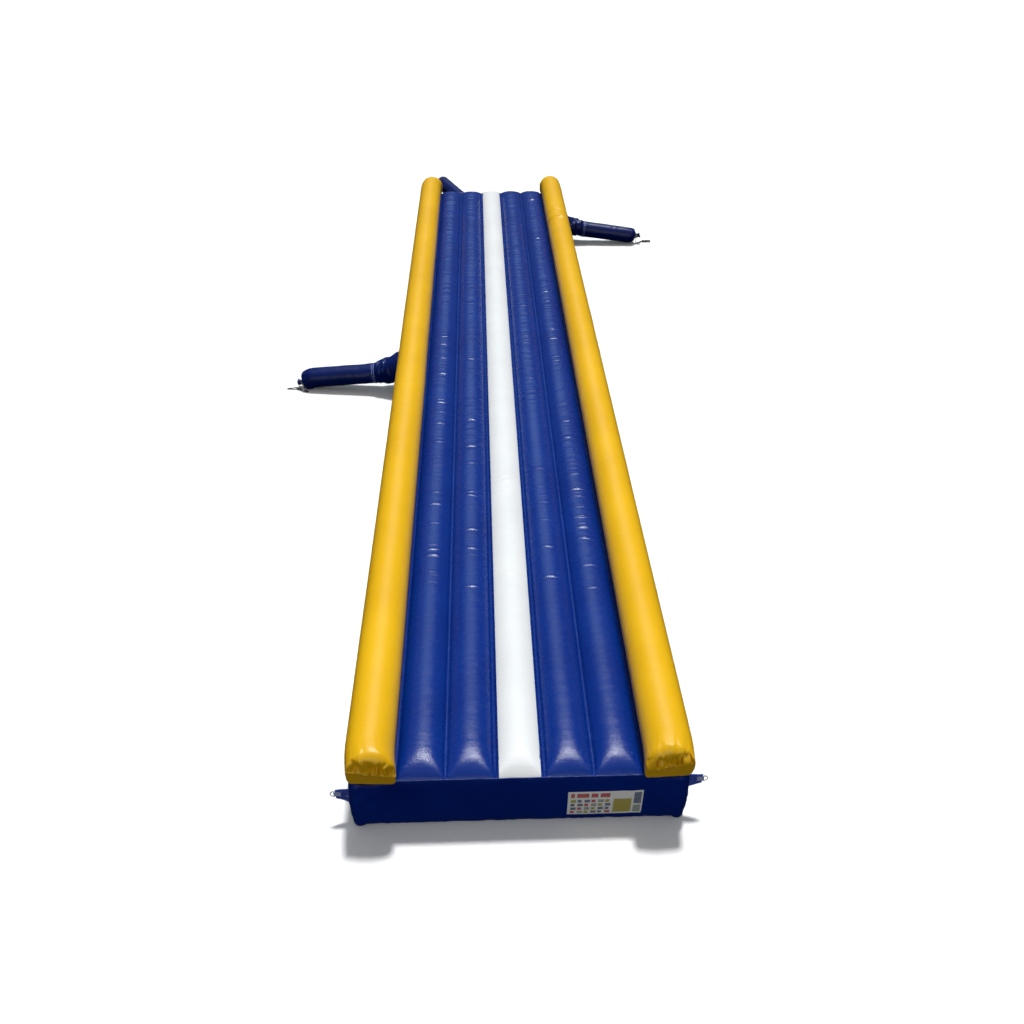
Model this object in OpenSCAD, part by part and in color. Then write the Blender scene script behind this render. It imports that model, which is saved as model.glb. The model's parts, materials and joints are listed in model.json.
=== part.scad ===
// Inflatable tumble track: a long air mattress with five lengthwise deck chambers, a white centre
// stripe and a bumper tube along each side, filled through fabric sleeves.
// Origin: centre of the underside, on the floor. +Y runs to the rear end, +X to the right, +Z up.

/* [Track] */
// Length over both end walls
track_l = 12000; // [9000:100:15000]
// Width over the side walls
base_w = 2312; // [2200:4:2400]
// Height of the walls, floor to deck seam
base_h = 500; // [460:10:600]
// Radius of the vertical corners
corner_r = 60; // [30:5:80]
// Thickness drawn for every coated-fabric panel
skin_t = 3; // [2:0.5:4]

/* [Deck] */
// Width of one lengthwise chamber
chamber_w = 340.8; // [320:0.2:344]
// Rise of a chamber's crown above its seams
crown_h = 88; // [60:2:100]
// Run of a chamber's sloping front end, crown to end seam
front_run = 220; // [160:10:300]
// Run of a chamber's blunter rear end, crown to end seam
rear_run = 140; // [130:2:220]
// Width of the white stripe on the middle chamber
stripe_w = 288; // [200:4:310]
// Gap between an inner web's end and the end wall, for air
web_gap = 400; // [200:20:600]

/* [Side tubes] */
// Outer diameter of a side tube
tube_d = 340; // [300:4:350]
// Distance of a tube's axis from the centre line
tube_x = 1026; // [1020:2:1030]
// Depth that a tube sinks into the top margin
tube_sink = 34; // [20:2:40]
// Radius of the rounding between a tube's side and its flat end
cap_round = 60; // [30:2:80]

/* [Sleeves] */
// Outer diameter of a sleeve
sleeve_d = 244; // [200:2:250]
// Straight length of the left sleeve from its fold
left_sleeve_l = 850; // [700:5:1000]
// Straight length of the right sleeve from its fold
right_sleeve_l = 815; // [700:5:1000]
// Straight length of the blower sleeve from its fold
blower_sleeve_l = 1010; // [800:10:1100]
// Diameter of the left collar's cone at its root
left_collar_d = 400; // [300:4:400]
// Diameter of the right collar's cone at its root
right_collar_d = 340; // [300:4:400]
// Diameter of the blower collar's cone at its root
blower_collar_d = 300; // [280:4:320]
// Diameter of a tied-off neck
neck_d = 60; // [50:2:80]

/* [Anchors] */
// Height of an anchor tab at the wall
tab_root_h = 190; // [150:5:200]
// Reach of an anchor tab from the wall to its ring
tab_reach = 144; // [90:2:160]
// How much higher the right tab stands than the left one
right_tab_lift = 72; // [0:2:100]
// Inner radius of a D-ring's bow
ring_r = 25; // [20:1:30]
// Wire diameter of a D-ring
ring_wire = 6; // [5:0.5:7]

/* [Zip] */
// Length of the deflation zip
zip_l = 600; // [400:8:700]
// Pitch of the zip's teeth
tooth_pitch = 8; // [8:1:12]

/* [Label] */
// Width of the plain information patch
label_w = 528; // [300:4:560]
// Height of the plain information patch
label_h = 272; // [150:4:300]

/* [Hidden] */
$fn = 72;

half_l = track_l / 2;
half_w = base_w / 2;
deck_half_w = 2.5 * chamber_w;
wall_h = base_h - 2 * skin_t;
big = 3 * track_l;

// Radius of an arc that rises by the crown height over a run
function arc_r(run) = (pow(run, 2) + pow(crown_h, 2)) / (2 * crown_h);
arch_r = arc_r(chamber_w / 2);
stripe_t = 1.5;

tube_r = tube_d / 2;
tube_z = base_h + tube_r - tube_sink;
barrel_half_l = half_l - cap_round;
seat_gap = 0.3;

// Sleeves: the fold is the point that a sleeve swings about
sleeve_r = sleeve_d / 2;
collar_gap = 3;
collar_lap = 42;
taper_l = 90;
neck_r = neck_d / 2;
neck_waist = 4;
neck_l = 38;
tuft_l = 42;
tuft_flare = 8;
band_from = 14;
band_l = 34;
band_t = 2.5;
strap_t = 3;
strap_w = 30;
floor_clear = 1;
side_fold_x = 1510;
side_fold_z = 218;
side_drop = side_fold_z - sleeve_r - floor_clear;
pitch_ease = 0.1;

// Left sleeve: its tied end droops, and its strap's tail turns towards the front
left_fold = [-side_fold_x, 190, side_fold_z];
left_yaw = 175.8;
left_pitch = asin(side_drop / left_sleeve_l) - pitch_ease;
left_collar_z = 300;
left_neck_drop = 48;
left_tuft_tilt = 0;
left_tail_turn = 30;
left_drop_run = 34;
left_tail_run = 186;

// Right sleeve: its tied end stands up a little, and its tail turns towards the rear
right_fold = [side_fold_x, 5062, side_fold_z];
right_yaw = -4.8;
right_pitch = asin(side_drop / right_sleeve_l) - pitch_ease;
right_collar_z = 285;
right_neck_drop = -10;
right_tuft_tilt = 28;
right_tail_turn = 20;
right_drop_run = 60;
right_tail_run = 205;

// Buckles: a ladder-lock plate on each side strap, a slotted block on the blower strap
buckle_w = 36;
buckle_l = 44;
buckle_t = 5;
buckle_slot = 9;
buckle_gap = 0.1;
buckle_turn = 108;
block_l = 40;
block_t = 7;
block_clear = 0.2;
block_drop = 34;
blower_tail_l = 150;

// Blower sleeve: level, and turned to the left behind the rear wall
blower_root_x = -430;
blower_z = 330;
blower_yaw = 112;
blower_fold_l = 170;
blower_fold = [
  blower_root_x + blower_fold_l * cos(blower_yaw),
  half_l + blower_fold_l * sin(blower_yaw),
  blower_z
];
collar_overrun = 60;
blower_overrun = 90;
air_hole_r = 105;
air_port_r = 85;

// Anchors: tab, webbing loop and D-ring in the upright plane y = anchor_y
anchor_y = -half_l + 75;
ring_axis_x = half_w + tab_reach;
tab_t = 4;
tab_tip_h = 94;
tab_low_z = 126;
tab_tip_low_z = 218;
ring_z = tab_tip_low_z + tab_tip_h / 2;
ring_clear = 0.1;
loop_t = 2;
loop_h = 44;
loop_lap = 46;
patch_t = 1.5;
patch_l = 240;
patch_ahead = 110;
patch_border = 30;
patch_lower = 20;

// Zip: everything stands on the rear wall's outer face
zip_x = 450;
zip_z = 170;
zip_slot_h = 12;
tape_w = 26;
tape_t = 1.2;
tooth_l = 6;
tooth_h = 14;
tooth_t = 3;
slider_gap = 0.3;
slider_l = 30;
slider_w = 26;
slider_plate = 3;
slider_start = 40;
lug_h = 9;
lug_w = 10;
lug_t = 4;
lug_out = 6;
lug_root = 0.5;
stop_l = 8;
stop_t = 5;
pin_rise = 5;
pin_r = 1.5;
pin_l = 17;
pull_l = 62;
pull_w = 7;
pull_t = 3;
pull_clear = 0.08;
tape_y = half_l + tape_t;
teeth_y = tape_y + tooth_t;
plate_y = teeth_y + slider_gap;
pin_y = plate_y + slider_plate + pin_rise;
slider_x = zip_x - zip_l / 2 + slider_start;

label_x = 600;
label_z = 212;
label_t = 1;

blue = [0.10, 0.20, 0.52];
navy = [0.04, 0.09, 0.30];
yellow = [0.90, 0.70, 0.18];

// ---- Helpers ----

// A flat shape in (X, Z), run along Y, centred
module along_y(len) {
  rotate([90, 0, 0]) translate([0, 0, -len / 2]) linear_extrude(len) children();
}

// A flat shape in (Y, Z), run along X, centred
module along_x(len) {
  rotate([90, 0, 90]) translate([0, 0, -len / 2]) linear_extrude(len) children();
}

// A round bar along +X
module bar_x(r1, r2, len) {
  rotate([0, 90, 0]) cylinder(r1 = r1, r2 = r2, h = len);
}

// Footprint of the base, with its corners rounded, drawn inset by inset_by
module footprint(inset_by) {
  w = base_w - 2 * inset_by;
  l = track_l - 2 * inset_by;
  r = corner_r - inset_by;
  square([w - 2 * r, l], center = true);
  square([w, l - 2 * r], center = true);
  for (sx = [-1, 1], sy = [-1, 1])
    translate([sx * (w / 2 - r), sy * (l / 2 - r)]) circle(r);
}

// Both tubes' seats, to cut from whatever they sink into
module tube_seats(r) {
  for (side = [-1, 1]) along_y(big) translate([side * tube_x, tube_z]) circle(r);
}

// ---- Base ----

module floor_sheet() {
  color(navy) linear_extrude(skin_t) footprint(0);
}

module side_wall(side, hole_y, hole_z) {
  color(navy) difference() {
    translate([side * (half_w - skin_t / 2), 0, base_h / 2])
      cube([skin_t, track_l - 2 * corner_r, wall_h], center = true);
    translate([0, hole_y, hole_z]) rotate([0, side * 90, 0]) cylinder(r = air_hole_r, h = big);
  }
}

module left_wall() side_wall(-1, left_fold[1], left_collar_z);
module right_wall() side_wall(1, right_fold[1], right_collar_z);

// An end wall wraps round both of its corners
module end_wall(side) {
  difference() {
    translate([0, 0, skin_t]) linear_extrude(wall_h) difference() {
      footprint(0);
      footprint(skin_t);
      translate([0, -side * corner_r]) square([big, track_l], center = true);
    }
    tube_seats(tube_r + seat_gap + skin_t);
  }
}

module front_wall() {
  color(navy) end_wall(-1);
}

module rear_wall() {
  color(navy) difference() {
    end_wall(1);
    translate([blower_root_x, 0, blower_z]) rotate([-90, 0, 0]) cylinder(r = air_hole_r, h = big);
    translate([zip_x, half_l, zip_z]) cube([zip_l - 20, corner_r, zip_slot_h], center = true);
  }
}

// Top panel under a side tube: flat at both edges, bowed down where the tube sinks in
module top_margin(side) {
  color(navy) intersection() {
    along_y(track_l) difference() {
      union() {
        translate([side * (deck_half_w + half_w) / 2, base_h - skin_t / 2])
          square([half_w - deck_half_w, skin_t], center = true);
        intersection() {
          translate([side * tube_x, tube_z]) circle(tube_r + seat_gap + skin_t);
          translate([side * tube_x, base_h - tube_r]) square(2 * tube_r, center = true);
        }
      }
      translate([side * tube_x, tube_z]) circle(tube_r + seat_gap);
    }
    linear_extrude(base_h) footprint(0);
  }
}

module left_top_margin() top_margin(-1);
module right_top_margin() top_margin(1);

// ---- Deck ----

// Outline across one chamber, its surface moved out by grow
module chamber_arch(grow, floor_z) {
  intersection() {
    translate([0, base_h + crown_h - arch_r]) circle(arch_r + grow);
    translate([-chamber_w / 2, floor_z]) square([chamber_w, 2 * crown_h]);
  }
}

// Outline along the deck, rounded down to the seam at each end, moved out by grow
module deck_profile(grow, floor_z) {
  past = 2 * abs(grow);
  intersection() {
    union() {
      translate([-half_l + front_run, floor_z])
        square([track_l - front_run - rear_run, base_h + crown_h + grow - floor_z]);
      for (end = [[-1, front_run], [1, rear_run]])
        translate([end[0] * (half_l - end[1]), base_h + crown_h - arc_r(end[1])])
          circle(arc_r(end[1]) + grow);
    }
    translate([-half_l - past, floor_z]) square([track_l + 2 * past, 2 * crown_h]);
  }
}

// A chamber's filled pillow shape
module pillow(grow, floor_z) {
  intersection() {
    along_y(big) chamber_arch(grow, floor_z);
    along_x(big) deck_profile(grow, floor_z);
  }
}

module chamber(index) {
  translate([index * chamber_w, 0, 0]) difference() {
    pillow(0, base_h - skin_t);
    pillow(-skin_t, base_h - 2 * skin_t);
  }
}

module left_outer_chamber() color(blue) chamber(-2);
module left_inner_chamber() color(blue) chamber(-1);
module centre_chamber() color(blue) chamber(0);
module right_inner_chamber() color(blue) chamber(1);
module right_outer_chamber() color(blue) chamber(2);

module centre_stripe() {
  color("white") intersection() {
    difference() {
      pillow(stripe_t, base_h);
      pillow(0, base_h - skin_t);
    }
    translate([0, 0, base_h + crown_h]) cube([stripe_w, track_l, 2 * crown_h], center = true);
  }
}

// Upright panel that ties a deck seam down to the floor sheet
module web(seam) {
  color("slategray") translate([seam * chamber_w, 0, base_h / 2])
    cube([skin_t, track_l - 2 * web_gap, wall_h], center = true);
}

module left_edge_web() web(-2.5 + skin_t / chamber_w);
module left_outer_web() web(-1.5);
module left_inner_web() web(-0.5);
module right_inner_web() web(0.5);
module right_outer_web() web(1.5);
module right_edge_web() web(2.5 - skin_t / chamber_w);

// ---- Side tubes ----

module tube(side) {
  color(yellow) along_y(2 * barrel_half_l) translate([side * tube_x, tube_z]) difference() {
    circle(tube_r);
    circle(tube_r - skin_t);
  }
}

// Half outline of a cap: a flat end with a rounded rim, drawn inset by inset_by
module cap_outline(inset_by) {
  square([tube_r - cap_round, cap_round - inset_by]);
  intersection() {
    translate([tube_r - cap_round, 0]) circle(cap_round - inset_by);
    square([tube_r, cap_round]);
  }
}

module tube_cap(side, end) {
  color(yellow) translate([side * tube_x, end * barrel_half_l, tube_z])
    rotate([-90 * end, 0, 0]) rotate_extrude() difference() {
      cap_outline(0);
      cap_outline(skin_t);
    }
}

module left_tube() tube(-1);
module left_tube_front_cap() tube_cap(-1, -1);
module left_tube_rear_cap() tube_cap(-1, 1);
module right_tube() tube(1);
module right_tube_front_cap() tube_cap(1, -1);
module right_tube_rear_cap() tube_cap(1, 1);

// ---- Sleeves ----

// Puts a child, drawn along +X from the fold, in its place
module at_fold(fold, yaw, pitch) {
  translate(fold) rotate([0, 0, yaw]) rotate([0, pitch, 0]) children();
}

// Cone from behind the wall's face to just short of the fold, trimmed at the wall by the caller
module collar_cone(root_r, back_l) {
  inner = sleeve_r + collar_gap;
  difference() {
    translate([-back_l, 0, 0]) bar_x(root_r, inner + skin_t, back_l - collar_lap);
    translate([-back_l - 1, 0, 0]) bar_x(root_r - skin_t, inner, back_l - collar_lap + 2);
  }
}

module side_collar(fold, yaw, root_r, root_z) {
  run = side_fold_x - half_w;
  pitch = atan((root_z - side_fold_z) / run);
  color(blue) difference() {
    at_fold(fold, yaw, pitch) collar_cone(root_r, run + collar_overrun);
    translate([0, fold[1], base_h / 2]) cube([base_w, 4 * root_r, 4 * base_h], center = true);
  }
}

module left_collar() side_collar(left_fold, left_yaw, left_collar_d / 2, left_collar_z);
module right_collar() side_collar(right_fold, right_yaw, right_collar_d / 2, right_collar_z);

module blower_collar() {
  color(blue) difference() {
    at_fold(blower_fold, blower_yaw, 0)
      collar_cone(blower_collar_d / 2, blower_fold_l + blower_overrun);
    translate([0, 0, blower_z]) cube([base_w, track_l, 4 * base_h], center = true);
  }
}

// A tied side sleeve: round at the fold, straight, then drawn in to a neck that is drop lower
module tied_sleeve_form(len, drop, shrink) {
  r = sleeve_r - shrink;
  sphere(r);
  bar_x(r, r, len);
  hull() {
    translate([len - skin_t, 0, 0]) bar_x(r, r, skin_t, $fn = 36);
    translate([len + taper_l - skin_t, 0, -drop])
      bar_x(neck_r - shrink, neck_r - shrink, skin_t, $fn = 36);
  }
}

module tied_sleeve(len, drop) {
  difference() {
    tied_sleeve_form(len, drop, 0);
    tied_sleeve_form(len, drop, skin_t);
  }
}

// Gathered end beyond the tie: a short neck that flares into a tuft, tilted up by tilt
module tuft(len, drop, tilt) {
  waist = neck_r - neck_waist;
  translate([len + taper_l, 0, -drop]) {
    bar_x(neck_r, waist, neck_l);
    translate([neck_l, 0, 0]) {
      sphere(waist + 1);
      rotate([0, -tilt, 0]) bar_x(waist, neck_r + tuft_flare, tuft_l);
    }
  }
}

module sleeve_band() {
  translate([band_from, 0, 0]) difference() {
    bar_x(sleeve_r + band_t, sleeve_r + band_t, band_l);
    translate([-1, 0, 0]) bar_x(sleeve_r, sleeve_r, band_l + 2);
  }
}

// Strip of webbing that drops from start_z and then runs out along the floor
module strap_tail(start_z, drop_run, tail_run) {
  low = floor_clear;
  slant = 1.4 * strap_t;
  rotate([90, 0, 0]) translate([0, 0, -strap_w / 2]) linear_extrude(strap_w)
    polygon([
      [0, start_z], [drop_run, low + strap_t], [drop_run + tail_run, low + strap_t],
      [drop_run + tail_run, low], [drop_run - strap_t, low], [-slant, start_z]
    ]);
}

// Tie round a side sleeve's neck
module neck_tie(len, drop) {
  translate([len + taper_l + 1, 0, -drop]) difference() {
    bar_x(neck_r + strap_t, neck_r + strap_t, strap_w);
    translate([-1, 0, 0]) bar_x(neck_r, neck_r, strap_w + 2);
  }
}

// The tie's tail leaves the underside of the neck and turns aside on the floor
module neck_tail(fold, yaw, pitch, len, drop, turn, drop_run, tail_run) {
  out = len + taper_l + strap_w / 2;
  axis_z = fold[2] - out * sin(pitch) - drop * cos(pitch);
  translate([fold[0], fold[1], 0]) rotate([0, 0, yaw])
    translate([out * cos(pitch) - drop * sin(pitch), 0, 0]) rotate([0, 0, turn])
      strap_tail(axis_z - neck_r - strap_t + 1, drop_run, tail_run);
}

// Ladder-lock plate with two slots, lying on the lower front of the tie
module ladder_buckle(len, drop, front) {
  rise = neck_r + strap_t + buckle_gap + buckle_t / 2;
  translate([len + taper_l + 1 + strap_w / 2, 0, -drop])
    rotate([-front * buckle_turn, 0, 0]) translate([0, 0, rise]) difference() {
      cube([buckle_w, buckle_l, buckle_t], center = true);
      for (side = [-1, 1]) translate([0, side * buckle_slot, 0])
        cube([buckle_w - 2 * buckle_t, buckle_slot, 2 * buckle_t], center = true);
    }
}

module at_left() at_fold(left_fold, left_yaw, left_pitch) children();
module at_right() at_fold(right_fold, right_yaw, right_pitch) children();

module left_sleeve() color(blue) at_left() tied_sleeve(left_sleeve_l, left_neck_drop);
module left_sleeve_band() color("lightsteelblue") at_left() sleeve_band();
module left_sleeve_tuft() {
  color(navy) at_left() tuft(left_sleeve_l, left_neck_drop, left_tuft_tilt);
}
module left_cinch_strap() color("black") {
  at_left() neck_tie(left_sleeve_l, left_neck_drop);
  neck_tail(left_fold, left_yaw, left_pitch, left_sleeve_l, left_neck_drop,
    left_tail_turn, left_drop_run, left_tail_run);
}
module left_buckle() {
  color("silver") at_left() ladder_buckle(left_sleeve_l, left_neck_drop, 1);
}

module right_sleeve() color(blue) at_right() tied_sleeve(right_sleeve_l, right_neck_drop);
module right_sleeve_band() color("lightsteelblue") at_right() sleeve_band();
module right_sleeve_tuft() {
  color(navy) at_right() tuft(right_sleeve_l, right_neck_drop, right_tuft_tilt);
}
module right_cinch_strap() color("black") {
  at_right() neck_tie(right_sleeve_l, right_neck_drop);
  neck_tail(right_fold, right_yaw, right_pitch, right_sleeve_l, right_neck_drop,
    right_tail_turn, right_drop_run, right_tail_run);
}
module right_buckle() {
  color("silver") at_right() ladder_buckle(right_sleeve_l, right_neck_drop, -1);
}

// The blower sleeve is open at both ends, so air passes from its mouth into the track
module blower_sleeve() {
  color(blue) at_fold(blower_fold, blower_yaw, 0) difference() {
    union() {
      sphere(sleeve_r);
      bar_x(sleeve_r, sleeve_r, blower_sleeve_l);
    }
    sphere(sleeve_r - skin_t);
    bar_x(sleeve_r - skin_t, sleeve_r - skin_t, blower_sleeve_l + 1);
    translate([-sleeve_r - 1, 0, 0]) bar_x(air_port_r, air_port_r, sleeve_r);
  }
}

module blower_sleeve_band() {
  color("lightsteelblue") at_fold(blower_fold, blower_yaw, 0) sleeve_band();
}

// Open cinch strap round the blower sleeve's mouth, for a blower's nozzle
module blower_cinch_strap() {
  color("black") at_fold(blower_fold, blower_yaw, 0)
    translate([blower_sleeve_l - 3 * strap_w, 0, 0]) {
      difference() {
        bar_x(sleeve_r + strap_t, sleeve_r + strap_t, strap_w);
        translate([-1, 0, 0]) bar_x(sleeve_r, sleeve_r, strap_w + 2);
      }
      translate([0, -strap_t / 2, -sleeve_r - strap_t - blower_tail_l])
        cube([strap_w, strap_t, blower_tail_l + 1]);
    }
}

module blower_buckle() {
  color("silver") at_fold(blower_fold, blower_yaw, 0)
    translate([blower_sleeve_l - 2.5 * strap_w, 0, -sleeve_r - strap_t - block_drop])
      rotate([0, 90, 90]) difference() {
        cube([buckle_l, block_l, block_t], center = true);
        cube([2 * buckle_l, strap_w + 2 * block_clear, strap_t + block_clear], center = true);
      }
}

// ---- Anchors ----

function tab_lift(side) = side > 0 ? right_tab_lift : 0;

// Reinforcing patch on the side wall behind the tab
module anchor_patch(side) {
  mid_z = tab_low_z + tab_root_h / 2 - patch_lower + tab_lift(side);
  color(navy) translate([side * (half_w + patch_t / 2), anchor_y + patch_ahead, mid_z])
    cube([patch_t, patch_l, tab_root_h + 2 * patch_border], center = true);
}

// Upright triangular tab of doubled fabric
module anchor_tab(side) {
  root_x = half_w + patch_t;
  tip_x = ring_axis_x - ring_wire - loop_t;
  color(blue) translate([0, anchor_y, tab_lift(side)]) along_y(tab_t)
    polygon([
      [side * root_x, tab_low_z], [side * root_x, tab_low_z + tab_root_h],
      [side * tip_x, tab_tip_low_z + tab_tip_h], [side * tip_x, tab_tip_low_z]
    ]);
}

// Webbing folded round the ring's straight bar and stitched to both faces of the tab
module anchor_loop(side) {
  hole_r = ring_wire / 2 + ring_clear;
  outer_r = hole_r + loop_t;
  plate_half = tab_t / 2 + loop_t;
  color("midnightblue") translate([side * ring_axis_x, anchor_y, ring_z + tab_lift(side) - loop_h / 2])
    mirror([side > 0 ? 1 : 0, 0, 0]) linear_extrude(loop_h) difference() {
      union() {
        circle(outer_r);
        translate([0, -plate_half]) square([loop_lap, 2 * plate_half]);
      }
      circle(hole_r);
      translate([ring_wire + loop_t, -tab_t / 2]) square([loop_lap, tab_t]);
    }
}

// D-ring: an upright bar and a half-round bow beyond it
module d_ring(side) {
  bow_r = ring_r + ring_wire / 2;
  color("silver") translate([side * ring_axis_x, anchor_y, ring_z + tab_lift(side)]) {
    cylinder(d = ring_wire, h = 2 * bow_r, center = true);
    for (end = [-1, 1]) translate([0, 0, end * bow_r]) sphere(d = ring_wire);
    rotate([90, 0, side > 0 ? 0 : 180]) rotate([0, 0, -90])
      rotate_extrude(angle = 180) translate([bow_r, 0]) circle(d = ring_wire);
  }
}

module left_anchor_patch() anchor_patch(-1);
module left_anchor_tab() anchor_tab(-1);
module left_anchor_loop() anchor_loop(-1);
module left_ring() d_ring(-1);
module right_anchor_patch() anchor_patch(1);
module right_anchor_tab() anchor_tab(1);
module right_anchor_loop() anchor_loop(1);
module right_ring() d_ring(1);

// ---- Information patch and zip ----

module label_patch() {
  color("whitesmoke") translate([label_x, -half_l - label_t / 2, label_z])
    cube([label_w, label_t, label_h], center = true);
}

module zip_tapes() {
  color("black") for (side = [-1, 1])
    translate([zip_x, half_l + tape_t / 2, zip_z + side * (tape_w / 2 + zip_slot_h / 2)])
      cube([zip_l, tape_t, tape_w], center = true);
}

module zip_teeth() {
  count = floor((zip_l - slider_l) / tooth_pitch);
  color("gold") for (i = [0 : count - 1])
    translate([zip_x + (i - (count - 1) / 2) * tooth_pitch, tape_y + tooth_t / 2, zip_z])
      cube([tooth_l, tooth_t, tooth_h], center = true);
}

module zip_stops() {
  color("gold") for (side = [-1, 1])
    translate([zip_x + side * (zip_l / 2 - stop_t), tape_y + stop_t / 2, zip_z])
      cube([stop_l, stop_t, tooth_h + 4], center = true);
}

// The slider rides over the teeth on two rails and carries the pull between two lugs
module zip_slider() {
  rail_low = tape_y + slider_gap;
  color("silver") translate([slider_x, 0, zip_z]) difference() {
    union() {
      translate([-slider_l / 2, rail_low, -slider_w / 2])
        cube([slider_l, plate_y + slider_plate - rail_low, slider_w]);
      for (side = [-1, 1])
        translate([-lug_w / 2, plate_y + slider_plate - lug_root, side * lug_out - lug_t / 2])
          cube([lug_w, lug_h + lug_root, lug_t]);
    }
    translate([0, rail_low + (plate_y - rail_low) / 2 - 1, 0])
      cube([2 * slider_l, plate_y - rail_low + 2, tooth_h + 2 * slider_gap], center = true);
    translate([0, pin_y, 0]) cylinder(r = pin_r, h = slider_w, center = true);
  }
}

module zip_pin() {
  color("gray") translate([slider_x, pin_y, zip_z]) cylinder(r = pin_r, h = pin_l, center = true);
}

module zip_pull() {
  color("silver") translate([slider_x, pin_y, zip_z - pull_w / 2]) linear_extrude(pull_w)
    difference() {
      union() {
        circle(pull_t);
        translate([0, -pull_t / 2]) square([pull_l, pull_t]);
      }
      circle(pin_r + pull_clear);
    }
}

floor_sheet();
left_wall();
right_wall();
front_wall();
rear_wall();
left_top_margin();
right_top_margin();
left_outer_chamber();
left_inner_chamber();
centre_chamber();
right_inner_chamber();
right_outer_chamber();
centre_stripe();
left_edge_web();
left_outer_web();
left_inner_web();
right_inner_web();
right_outer_web();
right_edge_web();
left_tube();
left_tube_front_cap();
left_tube_rear_cap();
right_tube();
right_tube_front_cap();
right_tube_rear_cap();
left_collar();
left_sleeve();
left_sleeve_band();
left_sleeve_tuft();
left_cinch_strap();
left_buckle();
right_collar();
right_sleeve();
right_sleeve_band();
right_sleeve_tuft();
right_cinch_strap();
right_buckle();
blower_collar();
blower_sleeve();
blower_sleeve_band();
blower_cinch_strap();
blower_buckle();
left_anchor_patch();
left_anchor_tab();
left_anchor_loop();
left_ring();
right_anchor_patch();
right_anchor_tab();
right_anchor_loop();
right_ring();
label_patch();
zip_tapes();
zip_teeth();
zip_stops();
zip_slider();
zip_pin();
zip_pull();
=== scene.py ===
"""Looks of the inflatable tumble track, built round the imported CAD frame.

Every skin is a mesh made from the frame's own boxes: bulged walls, five crowned deck chambers, two
bumper tubes with gathered ends, three fabric sleeves, and the small webbing and label pieces.
"""

import json
import math

import bpy
import numpy as np
from mathutils import Matrix, Vector


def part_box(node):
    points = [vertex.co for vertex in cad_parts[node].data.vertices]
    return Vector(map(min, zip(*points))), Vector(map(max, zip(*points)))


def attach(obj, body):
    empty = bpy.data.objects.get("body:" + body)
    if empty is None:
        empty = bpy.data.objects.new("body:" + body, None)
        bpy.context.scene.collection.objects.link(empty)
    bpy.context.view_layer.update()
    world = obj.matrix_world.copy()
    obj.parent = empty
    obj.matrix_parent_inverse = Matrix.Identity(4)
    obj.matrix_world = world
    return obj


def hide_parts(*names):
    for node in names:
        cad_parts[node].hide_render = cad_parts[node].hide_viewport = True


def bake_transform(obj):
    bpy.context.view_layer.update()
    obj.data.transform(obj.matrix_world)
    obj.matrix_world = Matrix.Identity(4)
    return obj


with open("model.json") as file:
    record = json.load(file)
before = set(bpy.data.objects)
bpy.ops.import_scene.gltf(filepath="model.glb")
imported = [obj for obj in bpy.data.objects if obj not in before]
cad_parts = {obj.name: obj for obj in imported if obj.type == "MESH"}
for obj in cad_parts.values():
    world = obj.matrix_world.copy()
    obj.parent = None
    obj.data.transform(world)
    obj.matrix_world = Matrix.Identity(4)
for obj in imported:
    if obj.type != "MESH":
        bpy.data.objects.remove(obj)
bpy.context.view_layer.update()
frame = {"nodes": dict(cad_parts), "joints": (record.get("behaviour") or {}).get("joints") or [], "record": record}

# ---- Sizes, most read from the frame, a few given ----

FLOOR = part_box("floor_sheet")
HALF_W, HALF_L = FLOOR[1].x, FLOOR[1].y
SKIN_T = FLOOR[1].z
CORNER_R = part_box("front_wall")[1].y + HALF_L
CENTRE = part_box("centre_chamber")
DECK_Z = CENTRE[0].z + SKIN_T
CROWN_H = CENTRE[1].z - DECK_Z
CHAMBER_W = CENTRE[1].x - CENTRE[0].x
DECK_HALF_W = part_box("right_outer_chamber")[1].x
STRIPE_HALF_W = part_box("centre_stripe")[1].x
FRONT_RUN, REAR_RUN = 0.15, 0.10

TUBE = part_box("right_tube")
TUBE_R = (TUBE[1].x - TUBE[0].x) / 2
TUBE_X = (TUBE[1].x + TUBE[0].x) / 2
TUBE_Z = TUBE[1].z - TUBE_R

HINGES = {j["name"]: Vector(j["pos_m"]) for j in frame["joints"] if "pos_m" in j}
SLEEVE_R = 0.122

# ---- Number helpers and repeatable noise ----


def unit(t):
    """t, held between 0 and 1."""
    return np.clip(t, 0, 1)


def ease(t):
    """Smooth step: 0 up to t = 0, 1 from t = 1."""
    t = unit(t)
    return t * t * (3 - 2 * t)


def circle(count):
    """Evenly spaced angles, once round."""
    return np.linspace(0, 2 * math.pi, count, endpoint=False)


def table(rows, cols):
    """Two arrays that pair each row value with each column value."""
    return np.meshgrid(rows, cols, indexing="ij")


def normed(vectors):
    """Each row, scaled to length 1."""
    return vectors / np.linalg.norm(vectors, axis=1)[:, None]


def xyz(x, y, z):
    """Points from arrays of their coordinates."""
    return np.stack([x, y, z], axis=-1)


def lattice(i, j, seed):
    """A fixed value from 0 to 1 for each whole-number point."""
    v = np.sin(i * 127.1 + j * 311.7 + seed * 74.7) * 43758.5453
    return v - np.floor(v)


def noise(x, y, seed):
    """Smooth noise from -1 to 1 over a plane."""
    i, j = np.floor(x), np.floor(y)
    u, v = ease(x - i), ease(y - j)
    near = lattice(i, j, seed) * (1 - u) + lattice(i + 1, j, seed) * u
    far = lattice(i, j + 1, seed) * (1 - u) + lattice(i + 1, j + 1, seed) * u
    return 2 * (near * (1 - v) + far * v) - 1


def creases(x, y, seed):
    """Sharp-crested folds from -1 to 1, as pulled fabric has."""
    return 1 - 2 * np.abs(noise(x, y, seed))


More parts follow.
